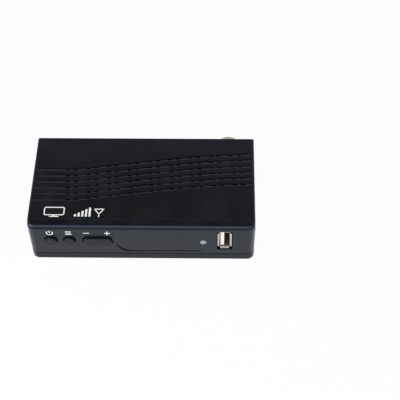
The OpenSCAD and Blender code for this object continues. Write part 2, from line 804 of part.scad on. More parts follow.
module round_button(x) {
  seat_y = wall_back_y + key_seat_gap;
  turned_y(x, front_y - key_proud, key_level) key_outline(key_r, seat_y + eps - front_y + key_proud);
  bar_y(x, key_level, flange_key_r, seat_y, seat_y + flange_key_t);
  bar_y(x, key_level, stem_r, seat_y + flange_key_t - eps, plunger_tip_y);
}

module power_button() {
  color([0.14, 0.15, 0.17]) round_button(power_x);
}

module menu_button() {
  color([0.14, 0.15, 0.17]) round_button(menu_x);
}

// The rocker's cap: four round corners and the two flat bands between them, all with the same front edge
module rocker_cap(len) {
  straight_w = rocker_w / 2 - rocker_corner_r;
  straight_h = rocker_h / 2 - rocker_corner_r;
  face_y = front_y - key_proud;
  for (sx = [-1, 1], sz = [-1, 1])
    turned_y(rocker_x + sx * straight_w, face_y, key_level + sz * straight_h)
      key_outline(rocker_corner_r, len);
  translate([0, face_y, key_level]) along_x(rocker_x - straight_w, rocker_x + straight_w) rotate(-90)
    for (s = [0, 1]) mirror([s, 0]) key_outline(rocker_h / 2, len);
  translate([rocker_x, face_y, key_level - straight_h]) linear_extrude(2 * straight_h)
    for (s = [0, 1]) mirror([s, 0]) key_outline(rocker_w / 2, len);
}

module channel_rocker() {
  cap_len = wall_back_y + key_seat_gap - front_y + key_proud;
  cap_back_y = front_y - key_proud + cap_len;
  color([0.14, 0.15, 0.17]) difference() {
    union() {
      rocker_cap(cap_len);
      block([rocker_x - lug_w / 2, cap_back_y - eps, key_level - rocker_h / 2],
        [rocker_x + lug_w / 2, pivot_back_y, key_level + rocker_h / 2]);
      for (s = [-1, 1])
        bar_y(rocker_x + s * rocker_arm, key_level, stem_r, cap_back_y - eps, plunger_tip_y - rocker_play);
    }
    translate([rocker_x, pivot_y, key_level])
      cylinder(r = pin_r + pin_clear, h = 2 * rocker_h, center = true);
  }
}

module rocker_pin() {
  color("silver") translate([rocker_x, pivot_y, key_level])
    cylinder(r = pin_r, h = 2 * (lug_start + lug_h), center = true);
}

module key_switches() {
  color([0.1, 0.1, 0.1])
    for (x = switch_xs) difference() {
      block([x - switch_w / 2, switch_front_y, key_level - switch_w / 2],
        [x + switch_w / 2, switch_front_y + switch_d, key_level + switch_w / 2]);
      bar_y(x, key_level, plunger_r + plunger_gap,
        switch_front_y - past, switch_front_y + plunger_in + 2 * key_travel);
    }
}

module switch_brackets() {
  back_y = switch_front_y + switch_d;
  color("silver")
    for (x = switch_xs) difference() {
      block([x - switch_w / 2 - bracket_t, switch_front_y, board_top_z],
        [x + switch_w / 2 + bracket_t, back_y + bracket_t, key_level + switch_w / 4]);
      block([x - switch_w / 2, switch_front_y - past, board_top_z - past],
        [x + switch_w / 2, back_y, key_level + switch_w]);
    }
}

// A key switch's plunger with a rounded tip edge
module plunger(x) {
  tip_edge = 0.3;
  turned_y(x, plunger_tip_y, key_level) {
    translate([0, tip_edge]) square([plunger_r, plunger_out + plunger_in - tip_edge]);
    square([plunger_r - tip_edge, plunger_out]);
    translate([plunger_r - tip_edge, tip_edge]) circle(tip_edge);
  }
}

module power_plunger() {
  color("dimgray") plunger(switch_xs[0]);
}

module menu_plunger() {
  color("dimgray") plunger(switch_xs[1]);
}

module down_plunger() {
  color("dimgray") plunger(switch_xs[2]);
}

module up_plunger() {
  color("dimgray") plunger(switch_xs[3]);
}

module status_lamp() {
  lead_end_y = board_front_y + switch_inset + lamp_lead_in;
  color([0.8, 0.82, 0.85]) {
    turned_y(lamp_x, front_y - lamp_proud, lamp_level) {
      intersection() {
        translate([0, lamp_dome_r]) circle(lamp_dome_r);
        square([lamp_r, lamp_len - lamp_rim_t + eps]);
      }
      translate([0, lamp_len - lamp_rim_t]) square([lamp_r + lamp_rim, lamp_rim_t]);
    }
    for (s = [-1, 1])
      block([lamp_x + s * lamp_lead_x - lead_w / 2, lamp_back_y - eps, lamp_level - lead_w / 2],
        [lamp_x + s * lamp_lead_x + lead_w / 2, lead_end_y, lamp_level + lead_w / 2]);
  }
}

module lamp_holder() {
  front = board_front_y + switch_inset;
  back = front + holder_d;
  half = holder_r + holder_ledge;
  color([0.08, 0.08, 0.08]) difference() {
    union() {
      bar_y(lamp_x, lamp_level, holder_r, lamp_back_y, front + eps);
      block([lamp_x - half, front, board_top_z], [lamp_x + half, back, lamp_level + half]);
    }
    bar_y(lamp_x, lamp_level, lamp_r - holder_ledge, lamp_back_y - past, back - holder_end_t);
  }
}

module infrared_receiver() {
  back = receiver_front_y + receiver_d;
  lead_y = back - receiver_lead_in;
  color([0.12, 0.08, 0.1]) {
    block([receiver_x - receiver_w / 2, receiver_front_y, board_top_z + receiver_rise],
      [receiver_x + receiver_w / 2, back, board_top_z + receiver_rise + receiver_h]);
    turned_y(receiver_x, receiver_front_y - receiver_r, receiver_level) intersection() {
      translate([0, receiver_r]) circle(receiver_r);
      square([receiver_r, receiver_r + eps]);
    }
    for (i = [-1 : 1])
      block([receiver_x + i * receiver_lead_pitch - lead_w / 2, lead_y - lead_w, board_top_z],
        [receiver_x + i * receiver_lead_pitch + lead_w / 2, lead_y, board_top_z + receiver_rise + eps]);
  }
}

module data_socket_shell() {
  back_y = data_front_y + data_len;
  lip = [[0, 0], [0, data_t], [-lip_d, lip_reach + data_t / 2], [-lip_d, lip_reach - data_t / 2]];
  color("silver") {
    difference() {
      block([data_x - data_w / 2, data_front_y, data_level - data_h / 2],
        [data_x + data_w / 2, back_y, data_level + data_h / 2]);
      block([data_x - data_w / 2 + data_t, data_front_y - past, data_level - data_h / 2 + data_t],
        [data_x + data_w / 2 - data_t, back_y + past, data_level + data_h / 2 - data_t]);
    }
    for (s = [0, 1]) translate([data_x, data_front_y + eps, data_level]) {
      mirror([s, 0, 0]) translate([data_w / 2 - data_t, 0, -data_h / 2 + lip_reach])
        linear_extrude(data_h - 2 * lip_reach) polygon([for (p = lip) [p.y, p.x]]);
      mirror([0, 0, s]) translate([0, 0, data_h / 2 - data_t])
        along_x(-data_w / 2 + lip_reach / 2, data_w / 2 - lip_reach / 2) polygon(lip);
    }
  }
}

module data_socket_insulator() {
  back_y = data_front_y + data_len;
  color("white") {
    block([data_x - data_w / 2 + data_t, back_y - data_end_t, data_level - data_h / 2 + data_t],
      [data_x + data_w / 2 - data_t, back_y, data_level + data_h / 2 - data_t]);
    block([tongue_x, data_front_y + tongue_inset, data_level - tongue_h / 2],
      [tongue_x + tongue_t, back_y - data_end_t + eps, data_level + tongue_h / 2]);
  }
}

module data_socket_contacts() {
  contact_w = 1;
  contact_t = 0.15;
  contact_in = 2;
  inner_contact = 1;
  outer_contact = 3.5;
  contact_end_y = data_front_y + data_len - data_end_t;
  color("gold")
    for (at = [-outer_contact, -inner_contact, inner_contact, outer_contact])
      block([tongue_x + tongue_t, data_front_y + contact_in, data_level + at - contact_w / 2],
        [tongue_x + tongue_t + contact_t, contact_end_y, data_level + at + contact_w / 2]);
}

module tuner_frame() {
  low = [tuner_x - tuner_w / 2, tuner_front_y, board_top_z];
  high = [tuner_x + tuner_w / 2, tuner_rear_y, tuner_top_z];
  color("lightgray") difference() {
    block(low, high);
    block(low + [tin_t, tin_t, -past], high + [-tin_t, -tin_t, past]);
    bar_y(tuner_x, aerial_level, contact_r + port_gap, tuner_rear_y - 2 * tin_t, tuner_rear_y + past);
  }
}

module tuner_lid() {
  grow = lid_gap + tin_t;
  low = [tuner_x - tuner_w / 2, tuner_front_y, tuner_top_z];
  high = [tuner_x + tuner_w / 2, tuner_rear_y, tuner_top_z + tin_t];
  color("gainsboro") difference() {
    block(low - [grow, grow, lid_rim], high + [grow, 0, 0]);
    block(low - [lid_gap, lid_gap, lid_rim + past], [high.x + lid_gap, high.y + past, tuner_top_z]);
  }
}

module tuner_chip() {
  chip_w = 7;
  color([0.1, 0.1, 0.1]) translate([tuner_x, tuner_rear_y - tuner_l / 2, board_top_z + chip_t / 2])
    cube([chip_w, chip_w, chip_t], center = true);
}

module aerial_barrel() {
  edge = 0.4;
  len = aerial_end_y - tuner_rear_y;
  color("silver") turned_y(tuner_x, tuner_rear_y, aerial_level)
    polygon([[aerial_bore_r, 0], [aerial_r, 0], [aerial_r, len - edge], [aerial_r - edge, len],
      [aerial_bore_r + edge, len], [aerial_bore_r, len - edge]]);
}

module aerial_insulator() {
  outer = aerial_bore_r - contact_gap;
  color("white") turned_y(tuner_x, tuner_rear_y, aerial_level)
    polygon([[contact_r + contact_gap, 0], [outer, 0], [outer, aerial_end_y - tuner_rear_y - insulator_depth],
      [contact_r + contact_gap, aerial_end_y - tuner_rear_y - insulator_depth]]);
}

module aerial_contact() {
  color("gold") difference() {
    bar_y(tuner_x, aerial_level, contact_r, tuner_rear_y - contact_tail, aerial_end_y - contact_depth);
    bar_y(tuner_x, aerial_level, contact_bore_r, tuner_rear_y + contact_end_t, aerial_end_y);
  }
}

// Mouth of the video socket, inset from its outline
module video_outline(inset) {
  half = video_w / 2 - inset;
  low = video_low_w / 2 - inset;
  polygon([[-low, inset], [low, inset], [half, video_slope_h + inset / 2], [half, video_h - inset],
    [-half, video_h - inset], [-half, video_slope_h + inset / 2]]);
}

module video_socket_shell() {
  color("silver") translate([video_x, 0, board_top_z]) difference() {
    along_y(video_front_y, video_end_y) video_outline(0);
    along_y(video_front_y - past, video_end_y + past) video_outline(video_t);
  }
}

module video_socket_insulator() {
  back_y = video_front_y + video_back_t;
  color([0.08, 0.08, 0.08]) {
    translate([video_x, 0, board_top_z]) along_y(video_front_y, back_y) video_outline(video_t);
    block([video_x - video_tongue_w / 2, back_y - eps, video_tongue_z - video_tongue_t / 2],
      [video_x + video_tongue_w / 2, video_end_y - video_tongue_in, video_tongue_z + video_tongue_t / 2]);
  }
}

// A row of contact strips on one face of the video socket's tongue
module video_contact_row(count, z0) {
  for (i = [0 : count - 1]) {
    x = video_x + (i - (count - 1) / 2) * video_contact_pitch;
    block([x - video_contact_w / 2, video_front_y + video_back_t, z0],
      [x + video_contact_w / 2, video_end_y - video_contact_in, z0 + video_contact_t]);
  }
}

module video_socket_contacts() {
  color("gold") {
    video_contact_row(video_upper_contacts, video_tongue_z + video_tongue_t / 2);
    video_contact_row(video_lower_contacts, video_tongue_z - video_tongue_t / 2 - video_contact_t);
  }
}

module jack_body() {
  color([0.08, 0.08, 0.08]) difference() {
    block([jack_x - jack_w / 2, jack_back_y - jack_l, board_top_z],
      [jack_x + jack_w / 2, jack_back_y, board_top_z + jack_w]);
    bar_y(jack_x, jack_level, jack_r, jack_back_y - jack_l - past, jack_back_y + past);
  }
}

module jack_bush() {
  edge = 0.25;
  len = rear_wall_y + jack_proud - jack_back_y;
  color("silver") turned_y(jack_x, jack_back_y, jack_level)
    polygon([[jack_bush_bore_r, 0], [jack_bush_r, 0], [jack_bush_r, len - edge], [jack_bush_r - edge, len],
      [jack_bush_bore_r, len]]);
}

module power_inlet_body() {
  mouth_y = rear_wall_y + inlet_proud;
  color([0.08, 0.08, 0.08]) difference() {
    union() {
      block([inlet_x - inlet_w / 2, inlet_back_y - inlet_l, board_top_z],
        [inlet_x + inlet_w / 2, inlet_back_y, board_top_z + inlet_h]);
      bar_y(inlet_x, inlet_level, inlet_mouth_r, inlet_back_y - eps, mouth_y);
    }
    bar_y(inlet_x, inlet_level, inlet_r, mouth_y - inlet_depth, mouth_y + past);
  }
}

module power_inlet_pin() {
  bottom_y = rear_wall_y + inlet_proud - inlet_depth;
  straight = inlet_depth - inlet_pin_in - inlet_pin_r;
  color("silver") translate([inlet_x, bottom_y, inlet_level]) rotate([-90, 0, 0]) {
    cylinder(r = inlet_pin_r, h = straight);
    translate([0, 0, straight]) sphere(inlet_pin_r);
  }
}

// A chip with a small dimple at its first pin
module chip(at, size) {
  corner = [at.x - size.x / 2, front_y + at.y - size.y / 2, board_top_z];
  color([0.1, 0.1, 0.1]) translate(corner) difference() {
    cube(size);
    translate([dimple_in, dimple_in, size.z - dimple_d]) cylinder(r = dimple_r, h = past);
  }
}

module processor() {
  chip(processor_at, [processor_w, processor_w, chip_t]);
}

module thermal_pad() {
  color("lightgray") translate([processor_at.x, front_y + processor_at.y, pad_z + pad_t / 2])
    cube([processor_w, processor_w, pad_t], center = true);
}

module heat_sink() {
  color("silver") translate([processor_at.x, front_y + processor_at.y, sink_z]) {
    translate([-sink_w / 2, -sink_w / 2, 0]) cube([sink_w, sink_w, sink_t]);
    for (i = [0 : fins - 1])
      translate([-sink_w / 2 + i * (sink_w - fin_t) / (fins - 1), -sink_w / 2, sink_t - eps])
        cube([fin_t, sink_w, fin_h]);
  }
}

module memory_chip() {
  chip(memory_at, memory_size);
}

module flash_chip() {
  chip(flash_at, flash_size);
}

module crystal() {
  can_l = 11;
  can_w = 4.6;
  can_h = 3.4;
  rim_w = 0.4;
  rim_h = 0.5;
  color("silver") translate([crystal_at.x, front_y + crystal_at.y, board_top_z]) {
    linear_extrude(rim_h) slot(can_l, can_w);
    linear_extrude(can_h) slot(can_l - 2 * rim_w, can_w - 2 * rim_w);
  }
}

// An electrolytic capacitor with a crimped groove above its base and a rounded top
module capacitor() {
  can_r = 3.15;
  can_h = 11;
  crimp_z = 1.8;
  crimp_r = 0.4;
  edge = 0.5;
  dish_d = 0.3;
  rotate_extrude() difference() {
    union() {
      square([can_r, can_h - edge]);
      square([can_r - edge, can_h]);
      translate([can_r - edge, can_h - edge]) circle(edge);
    }
    translate([can_r, crimp_z]) circle(crimp_r);
    translate([0, can_h - dish_d]) square([can_r - 2 * edge, past]);
  }
}

module capacitors() {
  color([0.12, 0.13, 0.2])
    for (i = [0 : capacitor_count - 1])
      translate([capacitor_at.x - half_w + i * capacitor_pitch, front_y + capacitor_at.y, board_top_z])
        capacitor();
}

module inductors() {
  base_w = 7;
  base_h = 1;
  core_r = 3.3;
  core_h = 4;
  ring_in = 0.3;
  ring_w = 0.5;
  ring_d = 0.3;
  color([0.25, 0.25, 0.27])
    for (i = [0, 1])
    translate([inductor_at.x - half_w + i * inductor_pitch, front_y + inductor_at.y, board_top_z])
    difference() {
      union() {
        linear_extrude(base_h) rounded(base_w, base_w, base_h);
        cylinder(r = core_r, h = core_h);
      }
      translate([0, 0, core_h - ring_d]) linear_extrude(past) difference() {
        circle(core_r - ring_in);
        circle(core_r - ring_in - ring_w);
      }
    }
}

module regulators() {
  body_w = 6.5;
  body_d = 3.5;
  body_h = 1.6;
  tab_w = 3;
  tab_d = 1.7;
  leg_w = 0.7;
  leg_d = 1.5;
  leg_t = 0.3;
  leg_pitch = 2.3;
  color([0.1, 0.1, 0.1])
    for (i = [0, 1])
    translate([regulator_at.x - half_w + i * inductor_pitch, front_y + regulator_at.y, board_top_z]) {
      translate([-body_w / 2, -body_d / 2, 0]) cube([body_w, body_d, body_h]);
      translate([-tab_w / 2, body_d / 2 - eps, 0]) cube([tab_w, tab_d, leg_t]);
      for (at = [-1 : 1])
        translate([at * leg_pitch - leg_w / 2, eps - body_d / 2 - leg_d, 0]) cube([leg_w, leg_d, leg_t]);
    }
}

top_cover();
chassis();
rear_panel();
front_panel();
rubber_feet();
cover_screws();
panel_screws();
board_standoffs();
board_screws();
main_board();
power_button();
menu_button();
channel_rocker();
rocker_pin();
key_switches();
switch_brackets();
power_plunger();
menu_plunger();
down_plunger();
up_plunger();
status_lamp();
lamp_holder();
infrared_receiver();
data_socket_shell();
data_socket_insulator();
data_socket_contacts();
tuner_frame();
tuner_lid();
tuner_chip();
aerial_barrel();
aerial_insulator();
aerial_contact();
video_socket_shell();
video_socket_insulator();
video_socket_contacts();
jack_body();
jack_bush();
power_inlet_body();
power_inlet_pin();
processor();
thermal_pad();
heat_sink();
memory_chip();
flash_chip();
crystal();
capacitors();
inductors();
regulators();
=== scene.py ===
"""Looks of a small television decoder box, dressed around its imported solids.

Lengths here are millimetres, and MM turns them into the metres of the scene.
"""

import json
import math

import bmesh
import bpy
from mathutils import Matrix, Vector


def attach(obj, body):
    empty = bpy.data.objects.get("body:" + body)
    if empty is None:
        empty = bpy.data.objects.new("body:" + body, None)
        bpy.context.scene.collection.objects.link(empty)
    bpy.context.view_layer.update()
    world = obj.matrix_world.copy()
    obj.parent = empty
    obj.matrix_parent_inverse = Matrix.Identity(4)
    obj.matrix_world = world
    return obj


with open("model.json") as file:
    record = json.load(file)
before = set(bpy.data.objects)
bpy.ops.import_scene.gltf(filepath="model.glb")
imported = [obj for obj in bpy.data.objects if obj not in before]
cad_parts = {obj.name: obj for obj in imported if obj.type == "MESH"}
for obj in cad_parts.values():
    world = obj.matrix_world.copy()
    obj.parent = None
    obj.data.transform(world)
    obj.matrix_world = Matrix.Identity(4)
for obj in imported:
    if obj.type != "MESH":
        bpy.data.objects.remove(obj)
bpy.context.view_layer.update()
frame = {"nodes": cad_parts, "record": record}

MM = 0.001
PER_MM = 1000.0

# Where prints and local finishes sit, in the frame of the solids
FRONT_FACE_Y = -33.7
TOP_FACE_Z = 29.2
REAR_WALL_Y = 26.8
POWER_KEY_X = -48.2
MENU_KEY_X = -38.4
ROCKER_X = -23.4
ROCKER_ARM = 5.5
LOWER_GROOVE_HEIGHT = 5.65
LAMP_X = 32.7
LAMP_HEIGHT = 16.2
LAMP_RADIUS = 1.75
DATA_SOCKET_X = 43.95
DATA_SOCKET_HEIGHT = 17.45
DATA_LIP_HEIGHT = 11.2
AERIAL_X = 45.8
VIDEO_SOCKET_X = 14.0
JACK_X = -14.0
POWER_INLET_X = -43.0

# Camera, as fitted to the photograph
CAMERA_AT = Vector((40.1, -356.8, 473.8)) * MM
CAMERA_LENS = 95.08
CAMERA_SENSOR = 36.0
CAMERA_PITCH = math.radians(52.48)
CAMERA_YAW = math.radians(-1.57)
CAMERA_ROLL = math.radians(-0.89)
CLIP_NEAR = 10.0
CLIP_FAR = 100000.0


def set_camera():
    """A still camera at the photograph's place and angle."""
    forward = Vector((
        math.sin(CAMERA_YAW) * math.cos(CAMERA_PITCH),
        math.cos(CAMERA_YAW) * math.cos(CAMERA_PITCH),
        -math.sin(CAMERA_PITCH),
    ))
    level = Vector((math.cos(CAMERA_YAW), -math.sin(CAMERA_YAW), 0))
    upright = level.cross(forward)
    right = math.cos(CAMERA_ROLL) * level + math.sin(CAMERA_ROLL) * upright
    up = math.cos(CAMERA_ROLL) * upright - math.sin(CAMERA_ROLL) * level
    data = bpy.data.cameras.new("photo_camera")
    data.lens = CAMERA_LENS
    data.sensor_width = CAMERA_SENSOR
    data.clip_start = CLIP_NEAR * MM
    data.clip_end = CLIP_FAR * MM
    camera = bpy.data.objects.new("photo_camera", data)
    turn = Matrix((right, up, -forward)).transposed().to_4x4()
    camera.matrix_world = Matrix.Translation(CAMERA_AT) @ turn
    bpy.context.scene.collection.objects.link(camera)
    bpy.context.scene.camera = camera


# Shader helpers


def put(tree, kind, **settings):
    """A new node with some of its settings."""
    node = tree.nodes.new(kind)
    for name, value in settings.items():
        setattr(node, name, value)
    return node


def feed(tree, socket, value):
    """Gives a socket a link or a plain value."""
    if isinstance(value, bpy.types.NodeSocket):
        tree.links.new(value, socket)
    else:
        socket.default_value = value


def sum_of(tree, operation, first, second=None, clamp=False):
    """The result of a one- or two-number sum."""
    node = put(tree, "ShaderNodeMath", operation=operation, use_clamp=clamp)
    feed(tree, node.inputs[0], first)
    if second is not None:
        feed(tree, node.inputs[1], second)
    return node.outputs[0]


def vector_sum(tree, operation, first, second=None):
    """The result of a sum with vectors: a number for a length or a dot product, otherwise a vector."""
    node = put(tree, "ShaderNodeVectorMath", operation=operation)
    feed(tree, node.inputs[0], first)
    if second is not None:
        feed(tree, node.inputs[1], second)
    return node.outputs["Value" if operation in ("LENGTH", "DOT_PRODUCT") else "Vector"]


def parts_of(tree, vector):
    """The X, Y and Z parts of a vector."""
    node = put(tree, "ShaderNodeSeparateXYZ")
    tree.links.new(vector, node.inputs[0])
    return node.outputs


def ramp(tree, value, low, high, to_low=0.0, to_high=1.0):
    """A value mapped smoothly from one range to another."""
    node = put(tree, "ShaderNodeMapRange", interpolation_type="SMOOTHSTEP")
    for socket, part in zip(node.inputs, (value, low, high, to_low, to_high)):
        feed(tree, socket, part)
    return node.outputs[0]


def blend_colour(tree, share, first, second):
    """A colour between two colours."""
    node = put(tree, "ShaderNodeMix", data_type="RGBA")
    feed(tree, node.inputs["Factor"], share)
    feed(tree, node.inputs[6], first)
    feed(tree, node.inputs[7], second)
    return node.outputs[2]


def millimetres(tree):
    """The place on the piece, in millimetres."""
    place = put(tree, "ShaderNodeTexCoord").outputs["Object"]
    node = put(tree, "ShaderNodeVectorMath", operation="SCALE")
    tree.links.new(place, node.inputs[0])
    node.inputs["Scale"].default_value = PER_MM
    return node.outputs[0]


BOX_BLUR = 0.05


def inside_box(tree, place, centre, half_size):
    """One within a box that runs along Y, zero outside it."""
    from_centre = vector_sum(tree, "ABSOLUTE", vector_sum(tree, "SUBTRACT", place, centre))
    past_side = parts_of(tree, vector_sum(tree, "SUBTRACT", from_centre, half_size))
    farther = sum_of(tree, "MAXIMUM", past_side["X"], past_side["Z"])
    return ramp(tree, farther, -BOX_BLUR, BOX_BLUR, 1.0, 0.0)


def noise(tree, place, size, detail=2.0, roughness=0.5):
    """Cloudy noise with features of about this size."""
    node = put(tree, "ShaderNodeTexNoise")
    tree.links.new(place, node.inputs["Vector"])
    if isinstance(size, bpy.types.NodeSocket):
        feed(tree, node.inputs["Scale"], sum_of(tree, "DIVIDE", 1.0, size))
    else:
        node.inputs["Scale"].default_value = 1.0 / size
    node.inputs["Detail"].default_value = detail
    node.inputs["Roughness"].default_value = roughness
    return node.outputs["Fac"]


def new_group(name, inputs, outputs):
    """An empty shader group with its named sockets."""
    group = bpy.data.node_groups.new(name, "ShaderNodeTree")
    for label, kind, value in inputs:
        socket = group.interface.new_socket(label, in_out="INPUT", socket_type=kind)
        socket.default_value = value
    for label, kind in outputs:
        group.interface.new_socket(label, in_out="OUTPUT", socket_type=kind)
    given = put(group, "NodeGroupInput").outputs
    wanted = put(group, "NodeGroupOutput").inputs
    return group, given, wanted


NUMBER = "NodeSocketFloat"
VECTOR = "NodeSocketVector"


def moulded_grain_group():
    """Fine grain of a moulded or sprayed skin, and wide cloudy patches in it."""
    coarser = 3.7
    fine_part = 0.7
    coarse_part = 0.3
    patch_edges = (0.35, 0.65)
    group, given, wanted = new_group(
        "moulded grain",
        [("Grain size", NUMBER, 0.3), ("Patch size", NUMBER, 12.0)],
        [("Grain", NUMBER), ("Patches", NUMBER)],
    )
    place = millimetres(group)
    fine = noise(group, place, given["Grain size"], detail=3.0, roughness=0.6)
    coarse_size = sum_of(group, "MULTIPLY", given["Grain size"], coarser)
    coarse = noise(group, place, coarse_size, detail=2.0)
    fine_share = sum_of(group, "MULTIPLY", fine, fine_part)
    coarse_share = sum_of(group, "MULTIPLY", coarse, coarse_part)
    group.links.new(sum_of(group, "ADD", fine_share, coarse_share), wanted["Grain"])
    clouds = noise(group, place, given["Patch size"], detail=4.0, roughness=0.55)
    group.links.new(ramp(group, clouds, *patch_edges), wanted["Patches"])
    return group


def edge_wear_group():
    """Rounded normals along sharp edges, and where the finish is rubbed off them."""
    edge_turn = (0.02, 0.25)
    kept_edges = (0.42, 0.62)
    group, given, wanted = new_group(
        "edge wear",
        [("Radius", NUMBER, 0.0002), ("Rubbed", NUMBER, 0.5), ("Break size", NUMBER, 1.5)],
        [("Wear", NUMBER), ("Rounded", VECTOR)],
    )
    bevel = put(group, "ShaderNodeBevel", samples=6)
    group.links.new(given["Radius"], bevel.inputs["Radius"])
    flat = put(group, "ShaderNodeNewGeometry").outputs["Normal"]
    turned = sum_of(group, "SUBTRACT", 1.0, vector_sum(group, "DOT_PRODUCT", bevel.outputs[0], flat))
    edge = ramp(group, turned, *edge_turn)
    breaks = noise(group, millimetres(group), given["Break size"], detail=5.0, roughness=0.7)
    kept = ramp(group, breaks, *kept_edges)
    worn = sum_of(group, "MULTIPLY", edge, kept)
    group.links.new(sum_of(group, "MULTIPLY", worn, given["Rubbed"], clamp=True), wanted["Wear"])
    group.links.new(bevel.outputs[0], wanted["Rounded"])
    return group


def settled_dust_group():
    """Thin dust on what faces up, in drifts and specks."""
    least_upward = 0.3
    drift_edges = (0.38, 0.72)
    least_drift = 0.35
    speck_size = 0.35
    speck_edges = (0.64, 0.74)
    speck_part = 0.7
    group, given, wanted = new_group(
        "settled dust",
        [("Amount", NUMBER, 0.1), ("Drift size", NUMBER, 18.0)],
        [("Dust", NUMBER)],
    )
    normal = put(group, "ShaderNodeNewGeometry").outputs["Normal"]
    upward = ramp(group, parts_of(group, normal)["Z"], least_upward, 1.0)
    place = millimetres(group)
    clouds = noise(group, place, given["Drift size"], detail=4.0)
    drifts = ramp(group, clouds, *drift_edges, least_drift, 1.0)
    specks = ramp(group, noise(group, place, speck_size, detail=1.0), *speck_edges)
    film = sum_of(group, "ADD", sum_of(group, "MULTIPLY", specks, speck_part), drifts)
    laid = sum_of(group, "MULTIPLY", film, upward)
    group.links.new(sum_of(group, "MULTIPLY", laid, given["Amount"], clamp=True), wanted["Dust"])
    return group


def fine_scratches_group():
    """A few hairline rubs that cross the surface at two slants."""
    slants = ((0.45, 0.0), (-0.7, 40.0))
    stretch = 14.0
    hairline = 0.006
    break_size = 9.0
    break_edges = (0.52, 0.68)
    group, given, wanted = new_group(
        "fine scratches",
        [("Spacing", NUMBER, 4.0), ("Amount", NUMBER, 0.5)],
        [("Scratch", NUMBER)],
    )
    place = millimetres(group)
    sets = []
    for slant, shift in slants:
        turned = put(group, "ShaderNodeMapping", vector_type="TEXTURE")
        group.links.new(place, turned.inputs["Vector"])
        turned.inputs["Rotation"].default_value = (slant, slant, slant)
        turned.inputs["Location"].default_value = (shift, shift, shift)
        turned.inputs["Scale"].default_value = (stretch, 1.0, 1.0)
        waves = noise(group, turned.outputs[0], given["Spacing"], detail=1.0)
        centred = sum_of(group, "ABSOLUTE", sum_of(group, "SUBTRACT", waves, 0.5))
        line = ramp(group, centred, 0.0, hairline, 1.0, 0.0)
        gaps = ramp(group, noise(group, place, break_size + shift / 10.0), *break_edges)
        sets.append(sum_of(group, "MULTIPLY", line, gaps))
    together = sum_of(group, "MAXIMUM", sets[0], sets[1])
    group.links.new(sum_of(group, "MULTIPLY", together, given["Amount"]), wanted["Scratch"])
    return group


def drawn_lines_group():
    """Lines left by drawing, rolling or turning, with their pitch along each axis."""
    group, given, wanted = new_group(
        "drawn lines",
        [("Lines per mm", VECTOR, (0.05, 6.0, 6.0))],
        [("Lines", NUMBER)],
    )
    spread = vector_sum(group, "MULTIPLY", millimetres(group), given["Lines per mm"])
    group.links.new(noise(group, spread, 1.0, detail=3.0, roughness=0.65), wanted["Lines"])
    return group


MOULDED_GRAIN = moulded_grain_group()
EDGE_WEAR = edge_wear_group()
SETTLED_DUST = settled_dust_group()
FINE_SCRATCHES = fine_scratches_group()
DRAWN_LINES = drawn_lines_group()


# What the finishes share: dust, rubs, less shine lower down, drawn lines, and painted shade inside a socket
DUST_COLOUR = (0.32, 0.31, 0.29, 1)
DUST_ROUGHER = 0.3
RUB_GAIN = 2.2
RUB_LIFT = 0.004
RUB_DEPTH = 0.004
# How much of the shine is kept low on a piece, and the height over which it fades in
LOW_SHINE_SHARE = 0.66
LOW_SHINE_BLUR = 0.2
POLISH_GAIN = 1.15
LINE_EDGES = (0.3, 0.7)
LINE_ROUGHER = 0.05
# Painted shade inside a socket: a dark brown colour and extra roughness, at a lower share under the lip
INSIDE_PAINTED_SHADE = (0.19, 0.165, 0.12)
INSIDE_SHADE_ROUGHER = 0.3
LIP_SHADE_SHARE = 0.86
LIP_SHADE_BLUR = 0.25
GRAIN_EDGES = (0.3, 0.7)


def place_group(tree, group, **values):
    """One of the shared groups in a material, with this material's own values."""
    node = put(tree, "ShaderNodeGroup", node_tree=group)
    for label, value in values.items():
        node.inputs[label.replace("_", " ")].default_value = value
    return node.outputs


def new_finish(name):
    """A material with its shader, ready for its own nodes."""
    material = bpy.data.materials.new(name)
    material.use_nodes = True
    tree = material.node_tree
    shader = tree.nodes["Principled BSDF"]
    return material, tree, shader


def raise_relief(tree, shader, height, rounded=None):
    """Fine relief in millimetres on a finish, over its rounded edges where it has them."""
    bump = put(tree, "ShaderNodeBump")
    bump.inputs["Distance"].default_value = MM
    tree.links.new(height, bump.inputs["Height"])
    if rounded is not None:
        tree.links.new(rounded, bump.inputs["Normal"])
    tree.links.new(bump.outputs[0], shader.inputs["Normal"])


